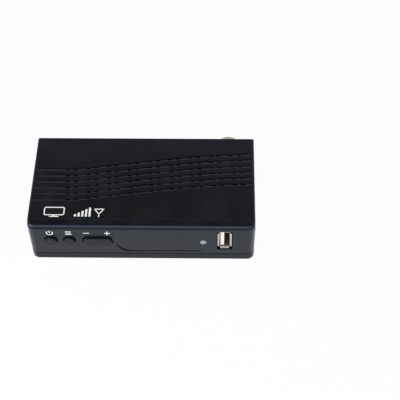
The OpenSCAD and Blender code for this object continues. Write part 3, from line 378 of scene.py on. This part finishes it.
def rough_coat(
    name,
    colour,
    patch_colour,
    roughness,
    rough_patch=0.06,
    grain=0.3,
    grain_depth=0.01,
    patch=12.0,
    edge=0.15,
    rubbed=0.5,
    wear_colour=None,
    wear_rough=0.3,
    wear_metal=0.0,
    dust=0.06,
    scratches=0.0,
    specular=0.5,
    tint=(1.0, 1.0, 1.0, 1.0),
    less_shine_below=None,
):
    """Paint, moulded plastic, rubber or resin: grain, patches, worn edges, dust and rubs.

    With a height given in less_shine_below, what lies lower on the piece shines less and so is darker
    towards the bottom.
    """
    material, tree, shader = new_finish(name)
    skin = place_group(tree, MOULDED_GRAIN, Grain_size=grain, Patch_size=patch)
    edges = place_group(tree, EDGE_WEAR, Radius=edge * MM, Rubbed=rubbed)
    film = place_group(tree, SETTLED_DUST, Amount=dust)
    surface = blend_colour(tree, skin["Patches"], (*colour, 1), (*patch_colour, 1))
    rough = ramp(tree, skin["Patches"], 0.0, 1.0, roughness - rough_patch, roughness + rough_patch)
    height = sum_of(tree, "MULTIPLY", skin["Grain"], grain_depth)
    if scratches:
        rubs = place_group(tree, FINE_SCRATCHES, Amount=scratches)["Scratch"]
        rub_colour = tuple(RUB_GAIN * part + RUB_LIFT for part in colour)
        surface = blend_colour(tree, rubs, surface, (*rub_colour, 1))
        height = sum_of(tree, "SUBTRACT", height, sum_of(tree, "MULTIPLY", rubs, RUB_DEPTH))
    if wear_colour is not None:
        surface = blend_colour(tree, edges["Wear"], surface, (*wear_colour, 1))
        rough = sum_of(tree, "ADD", rough, sum_of(tree, "MULTIPLY", edges["Wear"], wear_rough - roughness))
    if wear_metal:
        feed(tree, shader.inputs["Metallic"], sum_of(tree, "MULTIPLY", edges["Wear"], wear_metal))
    surface = blend_colour(tree, film["Dust"], surface, DUST_COLOUR)
    rough = sum_of(tree, "ADD", rough, sum_of(tree, "MULTIPLY", film["Dust"], DUST_ROUGHER), clamp=True)
    feed(tree, shader.inputs["Base Color"], surface)
    feed(tree, shader.inputs["Roughness"], rough)
    # Lower on the piece the shine is weaker, which makes it darker towards the bottom
    if less_shine_below is not None:
        level = parts_of(tree, millimetres(tree))["Z"]
        specular = ramp(
            tree, level, less_shine_below - LOW_SHINE_BLUR, less_shine_below, LOW_SHINE_SHARE * specular, specular)
    feed(tree, shader.inputs["Specular IOR Level"], specular)
    shader.inputs["Specular Tint"].default_value = tint
    raise_relief(tree, shader, height, edges["Rounded"])
    return material


def bare_metal(
    name,
    colour,
    tarnish,
    roughness,
    lines=(0.05, 6.0, 6.0),
    line_depth=0.002,
    patch=5.0,
    edge=0.08,
    rough_patch=0.07,
    dust=0.04,
    bright_edge=0.25,
    painted_shade_box=None,
    lighter_shade_below=0.0,
):
    """Plated, rolled or turned metal: drawn lines, cloudy tarnish and bright edges.

    With a box given in painted_shade_box, painted shade, dark brown and rougher, lies within it, a little
    lighter under the height lighter_shade_below.
    """
    material, tree, shader = new_finish(name)
    shader.inputs["Metallic"].default_value = 1.0
    skin = place_group(tree, MOULDED_GRAIN, Grain_size=0.2, Patch_size=patch)
    marks = place_group(tree, DRAWN_LINES, Lines_per_mm=lines)["Lines"]
    edges = place_group(tree, EDGE_WEAR, Radius=edge * MM, Rubbed=bright_edge, Break_size=0.8)
    film = place_group(tree, SETTLED_DUST, Amount=dust)
    surface = blend_colour(tree, skin["Patches"], (*colour, 1), (*tarnish, 1))
    polished = tuple(min(1.0, POLISH_GAIN * part) for part in colour)
    surface = blend_colour(tree, edges["Wear"], surface, (*polished, 1))
    surface = blend_colour(tree, film["Dust"], surface, DUST_COLOUR)
    rough = ramp(tree, skin["Patches"], 0.0, 1.0, roughness - rough_patch, roughness + rough_patch)
    line_rough = ramp(tree, marks, *LINE_EDGES, -LINE_ROUGHER, LINE_ROUGHER)
    rough = sum_of(tree, "ADD", rough, line_rough, clamp=True)
    # Painted shade: darkens the inside of the box, where the socket's depth is shaded
    if painted_shade_box is not None:
        place = millimetres(tree)
        level = parts_of(tree, place)["Z"]
        shade_share = ramp(tree, level, lighter_shade_below - LIP_SHADE_BLUR, lighter_shade_below, LIP_SHADE_SHARE, 1.0)
        within = sum_of(tree, "MULTIPLY", inside_box(tree, place, *painted_shade_box), shade_share)
        surface = blend_colour(tree, within, surface, (*INSIDE_PAINTED_SHADE, 1))
        rough = sum_of(tree, "ADD", rough, sum_of(tree, "MULTIPLY", within, INSIDE_SHADE_ROUGHER), clamp=True)
    feed(tree, shader.inputs["Base Color"], surface)
    feed(tree, shader.inputs["Roughness"], rough)
    raise_relief(tree, shader, sum_of(tree, "MULTIPLY", marks, line_depth), edges["Rounded"])
    return material


def solder_mask():
    """The board's green lacquer over its tracks, which run along and across in small fields."""
    fields_per_mm = 0.11
    half_pitch = 0.55
    track_edges = (0.24, 0.31)
    track_height = 0.03
    along_share = 0.5
    bare_share = 0.35
    lacquer = (0.004, 0.034, 0.017, 1)
    lacquer_patch = (0.006, 0.043, 0.020, 1)
    over_track = (0.015, 0.08, 0.03, 1)
    bare_edge = (0.35, 0.3, 0.16, 1)
    material, tree, shader = new_finish("board_solder_mask")
    place = millimetres(tree)
    split = parts_of(tree, place)
    fields = put(tree, "ShaderNodeTexVoronoi", distance="CHEBYCHEV")
    tree.links.new(place, fields.inputs["Vector"])
    fields.inputs["Scale"].default_value = fields_per_mm
    chance = put(tree, "ShaderNodeSeparateColor")
    tree.links.new(fields.outputs["Color"], chance.inputs[0])
    lines = []
    for axis in ("X", "Y"):
        step = sum_of(tree, "PINGPONG", split[axis], half_pitch)
        lines.append(ramp(tree, step, *track_edges))
    along = sum_of(tree, "GREATER_THAN", chance.outputs["Red"], along_share)
    across = sum_of(tree, "SUBTRACT", 1.0, along)
    picked = sum_of(tree, "MULTIPLY", lines[0], along)
    other = sum_of(tree, "MULTIPLY", lines[1], across)
    laid = sum_of(tree, "GREATER_THAN", chance.outputs["Green"], bare_share)
    tracks = sum_of(tree, "MULTIPLY", sum_of(tree, "ADD", picked, other), laid)
    skin = place_group(tree, MOULDED_GRAIN, Grain_size=0.25, Patch_size=9.0)
    edges = place_group(tree, EDGE_WEAR, Radius=0.1 * MM, Rubbed=0.6)
    green = blend_colour(tree, skin["Patches"], lacquer, lacquer_patch)
    green = blend_colour(tree, tracks, green, over_track)
    green = blend_colour(tree, edges["Wear"], green, bare_edge)
    feed(tree, shader.inputs["Base Color"], green)
    feed(tree, shader.inputs["Roughness"], ramp(tree, skin["Grain"], *GRAIN_EDGES, 0.28, 0.4))
    raise_relief(tree, shader, sum_of(tree, "MULTIPLY", tracks, track_height), edges["Rounded"])
    return material


def milky_lamp():
    """The lamp's milky resin with a faint cloud in it, paler over its middle and darker at its rim, where
    shade is painted.
    """
    rim_shade_start = 0.75
    milk_colour = (0.25, 0.265, 0.29, 1)
    cloud_colour = (0.28, 0.295, 0.32, 1)
    rim_painted_shade = (0.12, 0.13, 0.15, 1)
    glow_depth = 0.4
    material, tree, shader = new_finish("lamp_milky_resin")
    place = millimetres(tree)
    from_centre = vector_sum(tree, "SUBTRACT", place, (LAMP_X, 0.0, LAMP_HEIGHT))
    on_face = vector_sum(tree, "MULTIPLY", from_centre, (1.0, 0.0, 1.0))
    # Painted shade: the colour darkens towards the lamp's rim
    rim = ramp(tree, vector_sum(tree, "LENGTH", on_face), rim_shade_start * LAMP_RADIUS, LAMP_RADIUS)
    skin = place_group(tree, MOULDED_GRAIN, Grain_size=0.2, Patch_size=0.9)
    milk = blend_colour(tree, skin["Patches"], milk_colour, cloud_colour)
    feed(tree, shader.inputs["Base Color"], blend_colour(tree, rim, milk, rim_painted_shade))
    feed(tree, shader.inputs["Roughness"], ramp(tree, skin["Grain"], *GRAIN_EDGES, 0.14, 0.24))
    shader.inputs["Subsurface Weight"].default_value = 0.3
    shader.inputs["Subsurface Radius"].default_value = (1.0, 1.0, 1.1)
    shader.inputs["Subsurface Scale"].default_value = glow_depth * MM
    return material


def print_ink():
    """White screen print: chalky, a little thin in places."""
    chalk_depth = 0.003
    full_white = (0.80, 0.80, 0.80, 1)
    thin_white = (0.70, 0.71, 0.72, 1)
    worn_white = (0.42, 0.43, 0.45, 1)
    material, tree, shader = new_finish("white_print_ink")
    skin = place_group(tree, MOULDED_GRAIN, Grain_size=0.08, Patch_size=1.4)
    edges = place_group(tree, EDGE_WEAR, Radius=0.03 * MM, Rubbed=0.35, Break_size=0.6)
    white = blend_colour(tree, skin["Patches"], full_white, thin_white)
    white = blend_colour(tree, edges["Wear"], white, worn_white)
    feed(tree, shader.inputs["Base Color"], white)
    feed(tree, shader.inputs["Roughness"], ramp(tree, skin["Grain"], *GRAIN_EDGES, 0.42, 0.6))
    raise_relief(tree, shader, sum_of(tree, "MULTIPLY", skin["Grain"], chalk_depth))
    return material


PANEL_TINT = (0.69, 0.80, 1.0, 1.0)
COVER_TINT = (0.75, 0.82, 1.0, 1.0)
BARE_STEEL = (0.30, 0.30, 0.31)

FINISHES = {
    "cover_paint": rough_coat(
        "cover_satin_paint", (0.0022, 0.0024, 0.0038), (0.0026, 0.0028, 0.0044), 0.30, grain=0.16,
        grain_depth=0.004, patch=22.0, edge=0.12, rubbed=0.12, wear_colour=BARE_STEEL, wear_rough=0.35,
        wear_metal=0.9, dust=0.003, scratches=0.2, tint=COVER_TINT),
    "chassis_paint": rough_coat(
        "chassis_satin_paint", (0.0065, 0.0065, 0.0075), (0.0085, 0.0085, 0.0095), 0.42, grain=0.2,
        grain_depth=0.008, patch=18.0, edge=0.1, rubbed=0.5, wear_colour=BARE_STEEL, wear_rough=0.35,
        wear_metal=0.9, dust=0.02, scratches=0.4),
    "panel_plastic": rough_coat(
        "panel_satin_plastic", (0.0022, 0.0030, 0.0055), (0.0026, 0.0036, 0.0062), 0.27, grain=0.22,
        grain_depth=0.002, patch=16.0, edge=0.25, rubbed=0.15, wear_colour=(0.020, 0.022, 0.028),
        wear_rough=0.2, dust=0.004, scratches=0.2, specular=0.42, tint=PANEL_TINT,
        less_shine_below=LOWER_GROOVE_HEIGHT),
    "key_plastic": rough_coat(
        "key_satin_plastic", (0.0022, 0.0030, 0.0055), (0.0026, 0.0036, 0.0062), 0.30, grain=0.14,
        grain_depth=0.002, patch=3.0, edge=0.15, rubbed=0.3, wear_colour=(0.020, 0.022, 0.028),
        wear_rough=0.18, dust=0.004, scratches=0.2, specular=0.31, tint=PANEL_TINT),
    "foot_rubber": rough_coat(
        "foot_black_rubber", (0.014, 0.014, 0.014), (0.022, 0.021, 0.020), 0.78, grain=0.3, grain_depth=0.02,
        patch=2.5, edge=0.2, rubbed=0.6, wear_colour=(0.06, 0.06, 0.06), wear_rough=0.85, dust=0.1,
        specular=0.3),
    "black_insulator": rough_coat(
        "socket_black_plastic", (0.010, 0.010, 0.011), (0.014, 0.014, 0.015), 0.45, grain=0.12,
        grain_depth=0.004, patch=2.5, edge=0.08, rubbed=0.4, wear_colour=(0.045, 0.045, 0.047),
        wear_rough=0.35, dust=0.05),
    "white_insulator": rough_coat(
        "socket_white_plastic", (0.80, 0.79, 0.75), (0.74, 0.73, 0.68), 0.38, grain=0.14, grain_depth=0.004,
        patch=2.2, edge=0.08, rubbed=0.4, wear_colour=(0.86, 0.85, 0.82), wear_rough=0.3, dust=0.05),
    "receiver_resin": rough_coat(
        "receiver_dark_resin", (0.016, 0.005, 0.008), (0.022, 0.007, 0.010), 0.16, grain=0.2,
        grain_depth=0.002, patch=2.0, edge=0.1, rubbed=0.2, wear_colour=(0.05, 0.02, 0.025), wear_rough=0.2,
        dust=0.03),
    "chip_resin": rough_coat(
        "chip_matt_resin", (0.014, 0.014, 0.015), (0.019, 0.019, 0.020), 0.62, grain=0.09, grain_depth=0.008,
        patch=3.5, edge=0.06, rubbed=0.5, wear_colour=(0.06, 0.06, 0.06), wear_rough=0.5, dust=0.06),
    "pad_silicone": rough_coat(
        "pad_grey_silicone", (0.40, 0.42, 0.45), (0.34, 0.36, 0.39), 0.7, grain=0.2, grain_depth=0.01,
        patch=2.0, edge=0.1, rubbed=0.3, wear_colour=(0.5, 0.52, 0.55), wear_rough=0.7, dust=0.05),
    "capacitor_sleeve": rough_coat(
        "capacitor_blue_sleeve", (0.010, 0.014, 0.045), (0.013, 0.018, 0.055), 0.25, grain=0.25,
        grain_depth=0.003, patch=2.5, edge=0.1, rubbed=0.3, wear_colour=(0.06, 0.07, 0.12), wear_rough=0.2,
        dust=0.04),
    "ferrite": rough_coat(
        "inductor_grey_ferrite", (0.045, 0.045, 0.048), (0.062, 0.060, 0.060), 0.66, grain=0.16,
        grain_depth=0.015, patch=1.6, edge=0.1, rubbed=0.5, wear_colour=(0.12, 0.12, 0.12), wear_rough=0.55,
        dust=0.05),
    "dark_steel": bare_metal(
        "screw_black_zinc", (0.085, 0.085, 0.092), (0.060, 0.060, 0.066), 0.36, lines=(5.0, 5.0, 5.0),
        line_depth=0.003, patch=1.2, bright_edge=0.8),
    "bright_steel": bare_metal(
        "screw_bright_zinc", (0.62, 0.62, 0.63), (0.50, 0.49, 0.47), 0.30, lines=(5.0, 5.0, 5.0),
        line_depth=0.003, patch=1.2),
    "standoff_brass": bare_metal(
        "standoff_turned_brass", (0.72, 0.53, 0.22), (0.58, 0.40, 0.16), 0.28, lines=(0.4, 0.4, 9.0),
        line_depth=0.004, patch=1.8),
    "nickel_plate": bare_metal(
        "socket_nickel_plate", (0.70, 0.68, 0.62), (0.60, 0.58, 0.51), 0.24, lines=(1.5, 9.0, 1.5),
        line_depth=0.002, patch=2.4, bright_edge=0.4),
    "gold_plate": bare_metal(
        "contact_gold_flash", (0.86, 0.62, 0.24), (0.74, 0.51, 0.19), 0.24, lines=(6.0, 0.3, 6.0),
        line_depth=0.002, patch=1.0),
    "tin_sheet": bare_metal(
        "tuner_tinned_sheet", (0.64, 0.64, 0.65), (0.52, 0.52, 0.52), 0.33, lines=(0.12, 5.0, 5.0),
        line_depth=0.003, patch=5.0),
    "sink_aluminium": bare_metal(
        "sink_extruded_aluminium", (0.72, 0.72, 0.74), (0.62, 0.62, 0.64), 0.38, lines=(7.0, 0.1, 7.0),
        line_depth=0.004, patch=5.0),
    "board_laminate": solder_mask(),
    "lamp_resin": milky_lamp(),
}


# Two nickel pieces with a finish of their own; the data socket's shell has painted shade inside its opening
DATA_INSIDE_DROP = 0.5
DATA_INSIDE_HALF = (2.75, 0.0, 6.95)
DATA_SOCKET_INSIDE = (
    (DATA_SOCKET_X, 0.0, DATA_SOCKET_HEIGHT - DATA_INSIDE_DROP),
    DATA_INSIDE_HALF,
)
OWN_FINISHES = {
    "data_socket_shell": bare_metal(
        "data_shell_nickel_plate", (0.92, 0.90, 0.86), (0.84, 0.82, 0.77), 0.32, lines=(1.5, 9.0, 1.5),
        line_depth=0.002, patch=2.4, bright_edge=0.4, painted_shade_box=DATA_SOCKET_INSIDE,
        lighter_shade_below=DATA_LIP_HEIGHT),
    "aerial_barrel": bare_metal(
        "barrel_turned_nickel", (0.92, 0.91, 0.80), (0.84, 0.83, 0.71), 0.50, lines=(0.3, 5.0, 0.3),
        line_depth=0.05, patch=2.4, bright_edge=0.4),
}


def dress_nodes():
    """Gives each carried-over solid its own finish, or that of its material slot."""
    for part in frame["record"]["subparts"]:
        piece = frame["nodes"][part["node"]]
        piece.data.materials.clear()
        piece.data.materials.append(OWN_FINISHES.get(part["node"], FINISHES[part["material_slot"]]))


# Printed signs: each is a thin raised film of ink, drawn in a face's own two directions

INK = print_ink()
INK_PROUD = 0.02
INK_SUNK = 0.01
ARC_STEP = math.radians(6)
QUARTER = math.pi / 2


class Face:
    """A flat face that takes prints: its origin, its two directions, and its outward normal."""

    def __init__(self, origin, across, upward):
        self.origin = Vector(origin)
        self.across = Vector(across)
        self.upward = Vector(upward)
        self.normal = self.across.cross(self.upward)

    def at(self, point, lift):
        return (self.origin + point[0] * self.across + point[1] * self.upward + lift * self.normal) * MM


FRONT = Face((0, FRONT_FACE_Y, 0), (1, 0, 0), (0, 0, 1))
TOP = Face((0, 0, TOP_FACE_Z), (1, 0, 0), (0, 1, 0))
REAR = Face((0, REAR_WALL_Y, 0), (-1, 0, 0), (0, 0, 1))


def on_circle(u, v, radius, angle):
    return (u + radius * math.cos(angle), v + radius * math.sin(angle))


def bar(u, v, width, height, slant=0.0):
    """Outline of a bar about its middle, turned by a slant."""
    points = []
    for s, t in ((-1, -1), (1, -1), (1, 1), (-1, 1)):
        along = s * width / 2
        over = t * height / 2
        points.append((
            u + along * math.cos(slant) - over * math.sin(slant),
            v + along * math.sin(slant) + over * math.cos(slant),
        ))
    return points


def dot(u, v, radius):
    """Outline of a filled round dot."""
    count = round(2 * math.pi / ARC_STEP)
    return [on_circle(u, v, radius, i * ARC_STEP) for i in range(count)]


def arc_pairs(u, v, radius, line, start, end):
    """Inner and outer points of a round line, from one angle to another."""
    steps = max(2, math.ceil(abs(end - start) / ARC_STEP))
    angles = [start + (end - start) * i / steps for i in range(steps + 1)]
    return [(on_circle(u, v, radius - line / 2, a), on_circle(u, v, radius + line / 2, a)) for a in angles]


def ring(u, v, radius, line):
    """A closed round line."""
    return arc_pairs(u, v, radius, line, 0, 2 * math.pi)[:-1], True


def arc(u, v, radius, line, start, end):
    """An open round line."""
    return arc_pairs(u, v, radius, line, start, end), False


def round_frame(u, v, width, height, corner, line):
    """A closed line round a rectangle with round corners."""
    pairs = []
    for quarter, (s, t) in enumerate(((1, 1), (-1, 1), (-1, -1), (1, -1))):
        pairs += arc_pairs(
            u + s * (width / 2 - corner), v + t * (height / 2 - corner), corner, line,
            quarter * QUARTER, (quarter + 1) * QUARTER)
    return pairs, True


def print_sign(name, face, outlines=(), bands=()):
    """One printed sign of closed ink films, which rides on the case."""
    shape = bmesh.new()
    for outline in outlines:
        lower = [shape.verts.new(face.at(point, -INK_SUNK)) for point in outline]
        upper = [shape.verts.new(face.at(point, INK_PROUD)) for point in outline]
        shape.faces.new(upper)
        shape.faces.new(reversed(lower))
        for i in range(len(outline)):
            shape.faces.new((lower[i - 1], lower[i], upper[i], upper[i - 1]))
    for pairs, closed in bands:
        rows = []
        for inner, outer in pairs:
            section = ((inner, -INK_SUNK), (outer, -INK_SUNK), (outer, INK_PROUD), (inner, INK_PROUD))
            rows.append([shape.verts.new(face.at(point, lift)) for point, lift in section])
        for i in range(0 if closed else 1, len(rows)):
            for j in range(4):
                shape.faces.new((rows[i - 1][j - 1], rows[i - 1][j], rows[i][j], rows[i][j - 1]))
        if not closed:
            shape.faces.new(rows[0])
            shape.faces.new(rows[-1])
    bmesh.ops.recalc_face_normals(shape, faces=shape.faces)
    mesh = bpy.data.meshes.new(name)
    shape.to_mesh(mesh)
    shape.free()
    mesh.materials.append(INK)
    piece = bpy.data.objects.new(name, mesh)
    bpy.context.scene.collection.objects.link(piece)
    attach(piece, "case")


def print_key_signs():
    """Signs on the front, over the keys: a broken ring, three lines, a minus and a plus."""
    height = 23.6
    line = 0.5
    reach = 1.6
    stroke = 1.2 * reach
    menu_pitch = 1.2
    ring_start = math.radians(130)
    ring_end = math.radians(410)
    print_sign(
        "power_sign", FRONT,
        outlines=[bar(POWER_KEY_X, height + stroke / 2, line, stroke)],
        bands=[arc(POWER_KEY_X, height, reach, line, ring_start, ring_end)])
    print_sign(
        "menu_sign", FRONT,
        outlines=[bar(MENU_KEY_X, height + step * menu_pitch, 2 * reach, line) for step in (-1, 0, 1)])
    print_sign("minus_sign", FRONT, outlines=[bar(ROCKER_X - ROCKER_ARM, height, 2 * reach, line)])
    arm = reach - line / 2
    plus = [bar(ROCKER_X + ROCKER_ARM, height, 2 * reach, line)]
    for side in (-1, 1):
        plus.append(bar(ROCKER_X + ROCKER_ARM, height + side * (line + arm) / 2, line, arm))
    print_sign("plus_sign", FRONT, outlines=plus)


def aerial_outlines(u, v, reach, line):
    """A mast under an open triangle that stands on its point."""
    lean = math.radians(55)
    length = 2 * reach * math.sin(lean)
    outlines = [bar(u, v - reach / 2, line, reach)]
    for side in (-1, 1):
        middle = u + side * (length * math.cos(lean) + line) / 2
        outlines.append(bar(middle, v + length * math.sin(lean) / 2, length, line, side * lean))
    outlines.append(bar(u, v + length * math.sin(lean), 2 * length * math.cos(lean) + 2 * line, line))
    return outlines


def print_top_signs():
    """Signs on the cover, near its front left corner: a screen, rising bars, an aerial."""
    line = 0.6
    foot_y = FRONT_FACE_Y + 6.75
    screen_x = -46.0
    screen_y = foot_y + 3.5
    screen_w = 10.4
    screen_h = 4.9
    screen_corner = 0.9
    stand_w = 5.0
    neck_w = 1.6
    print_sign(
        "screen_sign", TOP,
        outlines=[bar(screen_x, foot_y, stand_w, line), bar(screen_x, foot_y + line, neck_w, line)],
        bands=[round_frame(screen_x, screen_y, screen_w, screen_h, screen_corner, line)])
    bar_count = 5
    bar_x = -34.8
    bar_pitch = 1.9
    bar_w = 1.1
    first_bar = 1.5
    bar_rise = 1.1
    bars = []
    for step in range(bar_count):
        tall = first_bar + bar_rise * step
        bars.append(bar(bar_x + step * bar_pitch, foot_y + tall / 2, bar_w, tall))
    print_sign("signal_sign", TOP, outlines=bars)
    aerial_x = -22.3
    aerial_y = foot_y + 2.0
    aerial_reach = 2.2
    print_sign("aerial_sign", TOP, outlines=aerial_outlines(aerial_x, aerial_y, aerial_reach, line))


def print_rear_signs():
    """Signs on the rear wall, over each socket."""
    line = 0.4
    dot_r = 0.5
    aerial_v = 25.2
    aerial_reach = 1.2
    print_sign(
        "rear_aerial_sign", REAR, outlines=aerial_outlines(-AERIAL_X, aerial_v, aerial_reach, line))
    screen_v = 21.6
    screen_w = 5.4
    screen_h = 3.2
    screen_corner = 0.6
    stand_v = 19.3
    stand_w = 2.6
    print_sign(
        "rear_screen_sign", REAR,
        outlines=[bar(-VIDEO_SOCKET_X, stand_v, stand_w, line)],
        bands=[round_frame(-VIDEO_SOCKET_X, screen_v, screen_w, screen_h, screen_corner, line)])
    jack_v = 21.0
    jack_ring_r = 1.3
    print_sign(
        "rear_jack_sign", REAR,
        outlines=[dot(-JACK_X, jack_v, dot_r)],
        bands=[ring(-JACK_X, jack_v, jack_ring_r, line)])
    inlet_u = -POWER_INLET_X
    inlet_v = 24.2
    reach = 1.1
    apart = 4.4
    pole_w = 0.9
    pole_line = 0.3
    cup_start = math.radians(50)
    cup_end = math.radians(310)
    outlines = [dot(inlet_u, inlet_v, dot_r)]
    bands = [arc(inlet_u, inlet_v, reach, line, cup_start, cup_end)]
    for side in (-1, 1):
        bands.append(ring(inlet_u + side * apart, inlet_v, reach, line))
        outlines.append(bar(inlet_u + side * apart, inlet_v, pole_w, pole_line))
    for side in (-1, 1):
        outlines.append(bar(inlet_u + apart, inlet_v + side * pole_line, pole_line, pole_line))
    gap_start = inlet_u - reach - line / 2
    wire = apart - 2 * reach - line
    outlines.append(bar(gap_start - wire / 2, inlet_v, wire, line))
    lead_start = inlet_u + dot_r
    lead_end = inlet_u + apart - reach - line / 2
    outlines.append(bar((lead_start + lead_end) / 2, inlet_v, lead_end - lead_start, line))
    print_sign("rear_polarity_sign", REAR, outlines=outlines, bands=bands)


# The plain pale studio: its floor, and how pale each part of its surround is

FLOOR_REACH = 6000.0
FLOOR_GLOW = 0.95
FLOOR_COLOUR = (0.78, 0.78, 0.78, 1)
FRONT_PALE = 0.9
BACKDROP_FADE = (0.2, 0.4)
BACK_PALE = 0.7
DIM = 0.05
SIDE_LEAN = 0.2
FRONT_LEAN = 1.0
BEHIND_RISE = (0.4, 0.66)
FRONT_TO_BACK = (-0.3, 0.3)
OVERHEAD = (0.66, 0.84)
AIM = Vector((0, 0, 15.0)) * MM


def mirrored_rays(tree, path):
    """One for what is seen in a gloss or through clear plastic, and zero otherwise."""
    return sum_of(tree, "MAXIMUM", path["Is Glossy Ray"], path["Is Transmission Ray"])


def lay_floor():
    """A wide pale floor that keeps a faint shadow."""
    mesh = bpy.data.meshes.new("studio_floor")
    corners = [(-1, -1), (1, -1), (1, 1), (-1, 1)]
    reach = FLOOR_REACH * MM
    mesh.from_pydata([(s * reach, t * reach, 0) for s, t in corners], [], [(0, 1, 2, 3)])
    floor = bpy.data.objects.new("studio_floor", mesh)
    bpy.context.scene.collection.objects.link(floor)
    material = bpy.data.materials.new("studio_pale_floor")
    material.use_nodes = True
    tree = material.node_tree
    tree.nodes.clear()
    matt = put(tree, "ShaderNodeBsdfDiffuse")
    matt.inputs["Color"].default_value = FLOOR_COLOUR
    white = put(tree, "ShaderNodeEmission")
    mixed = put(tree, "ShaderNodeMixShader")
    path = put(tree, "ShaderNodeLightPath").outputs
    seen = sum_of(tree, "MAXIMUM", path["Is Camera Ray"], mirrored_rays(tree, path))
    feed(tree, mixed.inputs[0], sum_of(tree, "MULTIPLY", seen, FLOOR_GLOW))
    tree.links.new(matt.outputs[0], mixed.inputs[1])
    tree.links.new(white.outputs[0], mixed.inputs[2])
    tree.links.new(mixed.outputs[0], put(tree, "ShaderNodeOutputMaterial").inputs["Surface"])
    mesh.materials.append(material)


def fill_world():
    """Pale light from the front, dimmer from behind and overhead, and white behind everything."""
    world = bpy.data.worlds.new("studio_world")
    world.use_nodes = True
    bpy.context.scene.world = world
    tree = world.node_tree
    tree.nodes.clear()
    way = parts_of(tree, put(tree, "ShaderNodeTexCoord").outputs["Generated"])
    height = sum_of(tree, "SUBTRACT", way["Z"], sum_of(tree, "MULTIPLY", way["X"], SIDE_LEAN))
    behind = ramp(tree, height, *BEHIND_RISE, DIM, BACK_PALE)
    pale = ramp(tree, way["Y"], *FRONT_TO_BACK, FRONT_PALE, behind)
    in_front = sum_of(tree, "MULTIPLY", sum_of(tree, "MINIMUM", way["Y"], 0.0), FRONT_LEAN)
    level = ramp(tree, sum_of(tree, "ADD", height, in_front), *OVERHEAD, pale, DIM)
    path = put(tree, "ShaderNodeLightPath").outputs
    backdrop = ramp(tree, way["Z"], *BACKDROP_FADE, 1.0, 0.0)
    mirrored = sum_of(tree, "MULTIPLY", mirrored_rays(tree, path), backdrop)
    white = sum_of(tree, "MAXIMUM", path["Is Camera Ray"], mirrored)
    strength = sum_of(tree, "MAXIMUM", level, white)
    sky = put(tree, "ShaderNodeBackground")
    sky.inputs["Color"].default_value = (1, 1, 1, 1)
    tree.links.new(strength, sky.inputs["Strength"])
    tree.links.new(sky.outputs[0], put(tree, "ShaderNodeOutputWorld").inputs["Surface"])


def hang_light(name, at, width, height, power):
    """A soft box aimed at the middle of the box."""
    data = bpy.data.lights.new(name, "AREA")
    data.shape = "RECTANGLE"
    data.size = width * MM
    data.size_y = height * MM
    data.energy = power
    light = bpy.data.objects.new(name, data)
    light.location = Vector(at) * MM
    light.rotation_mode = "QUATERNION"
    light.rotation_quaternion = (AIM - light.location).to_track_quat("-Z", "Y")
    bpy.context.scene.collection.objects.link(light)


bpy.context.scene.view_settings.view_transform = "Standard"

set_camera()
lay_floor()
fill_world()
hang_light("front_soft_box", at=(-100, -680, 720), width=1600, height=900, power=6.5)
hang_light("left_soft_box", at=(-850, -400, 600), width=900, height=900, power=8.0)
dress_nodes()
print_key_signs()
print_top_signs()
print_rear_signs()
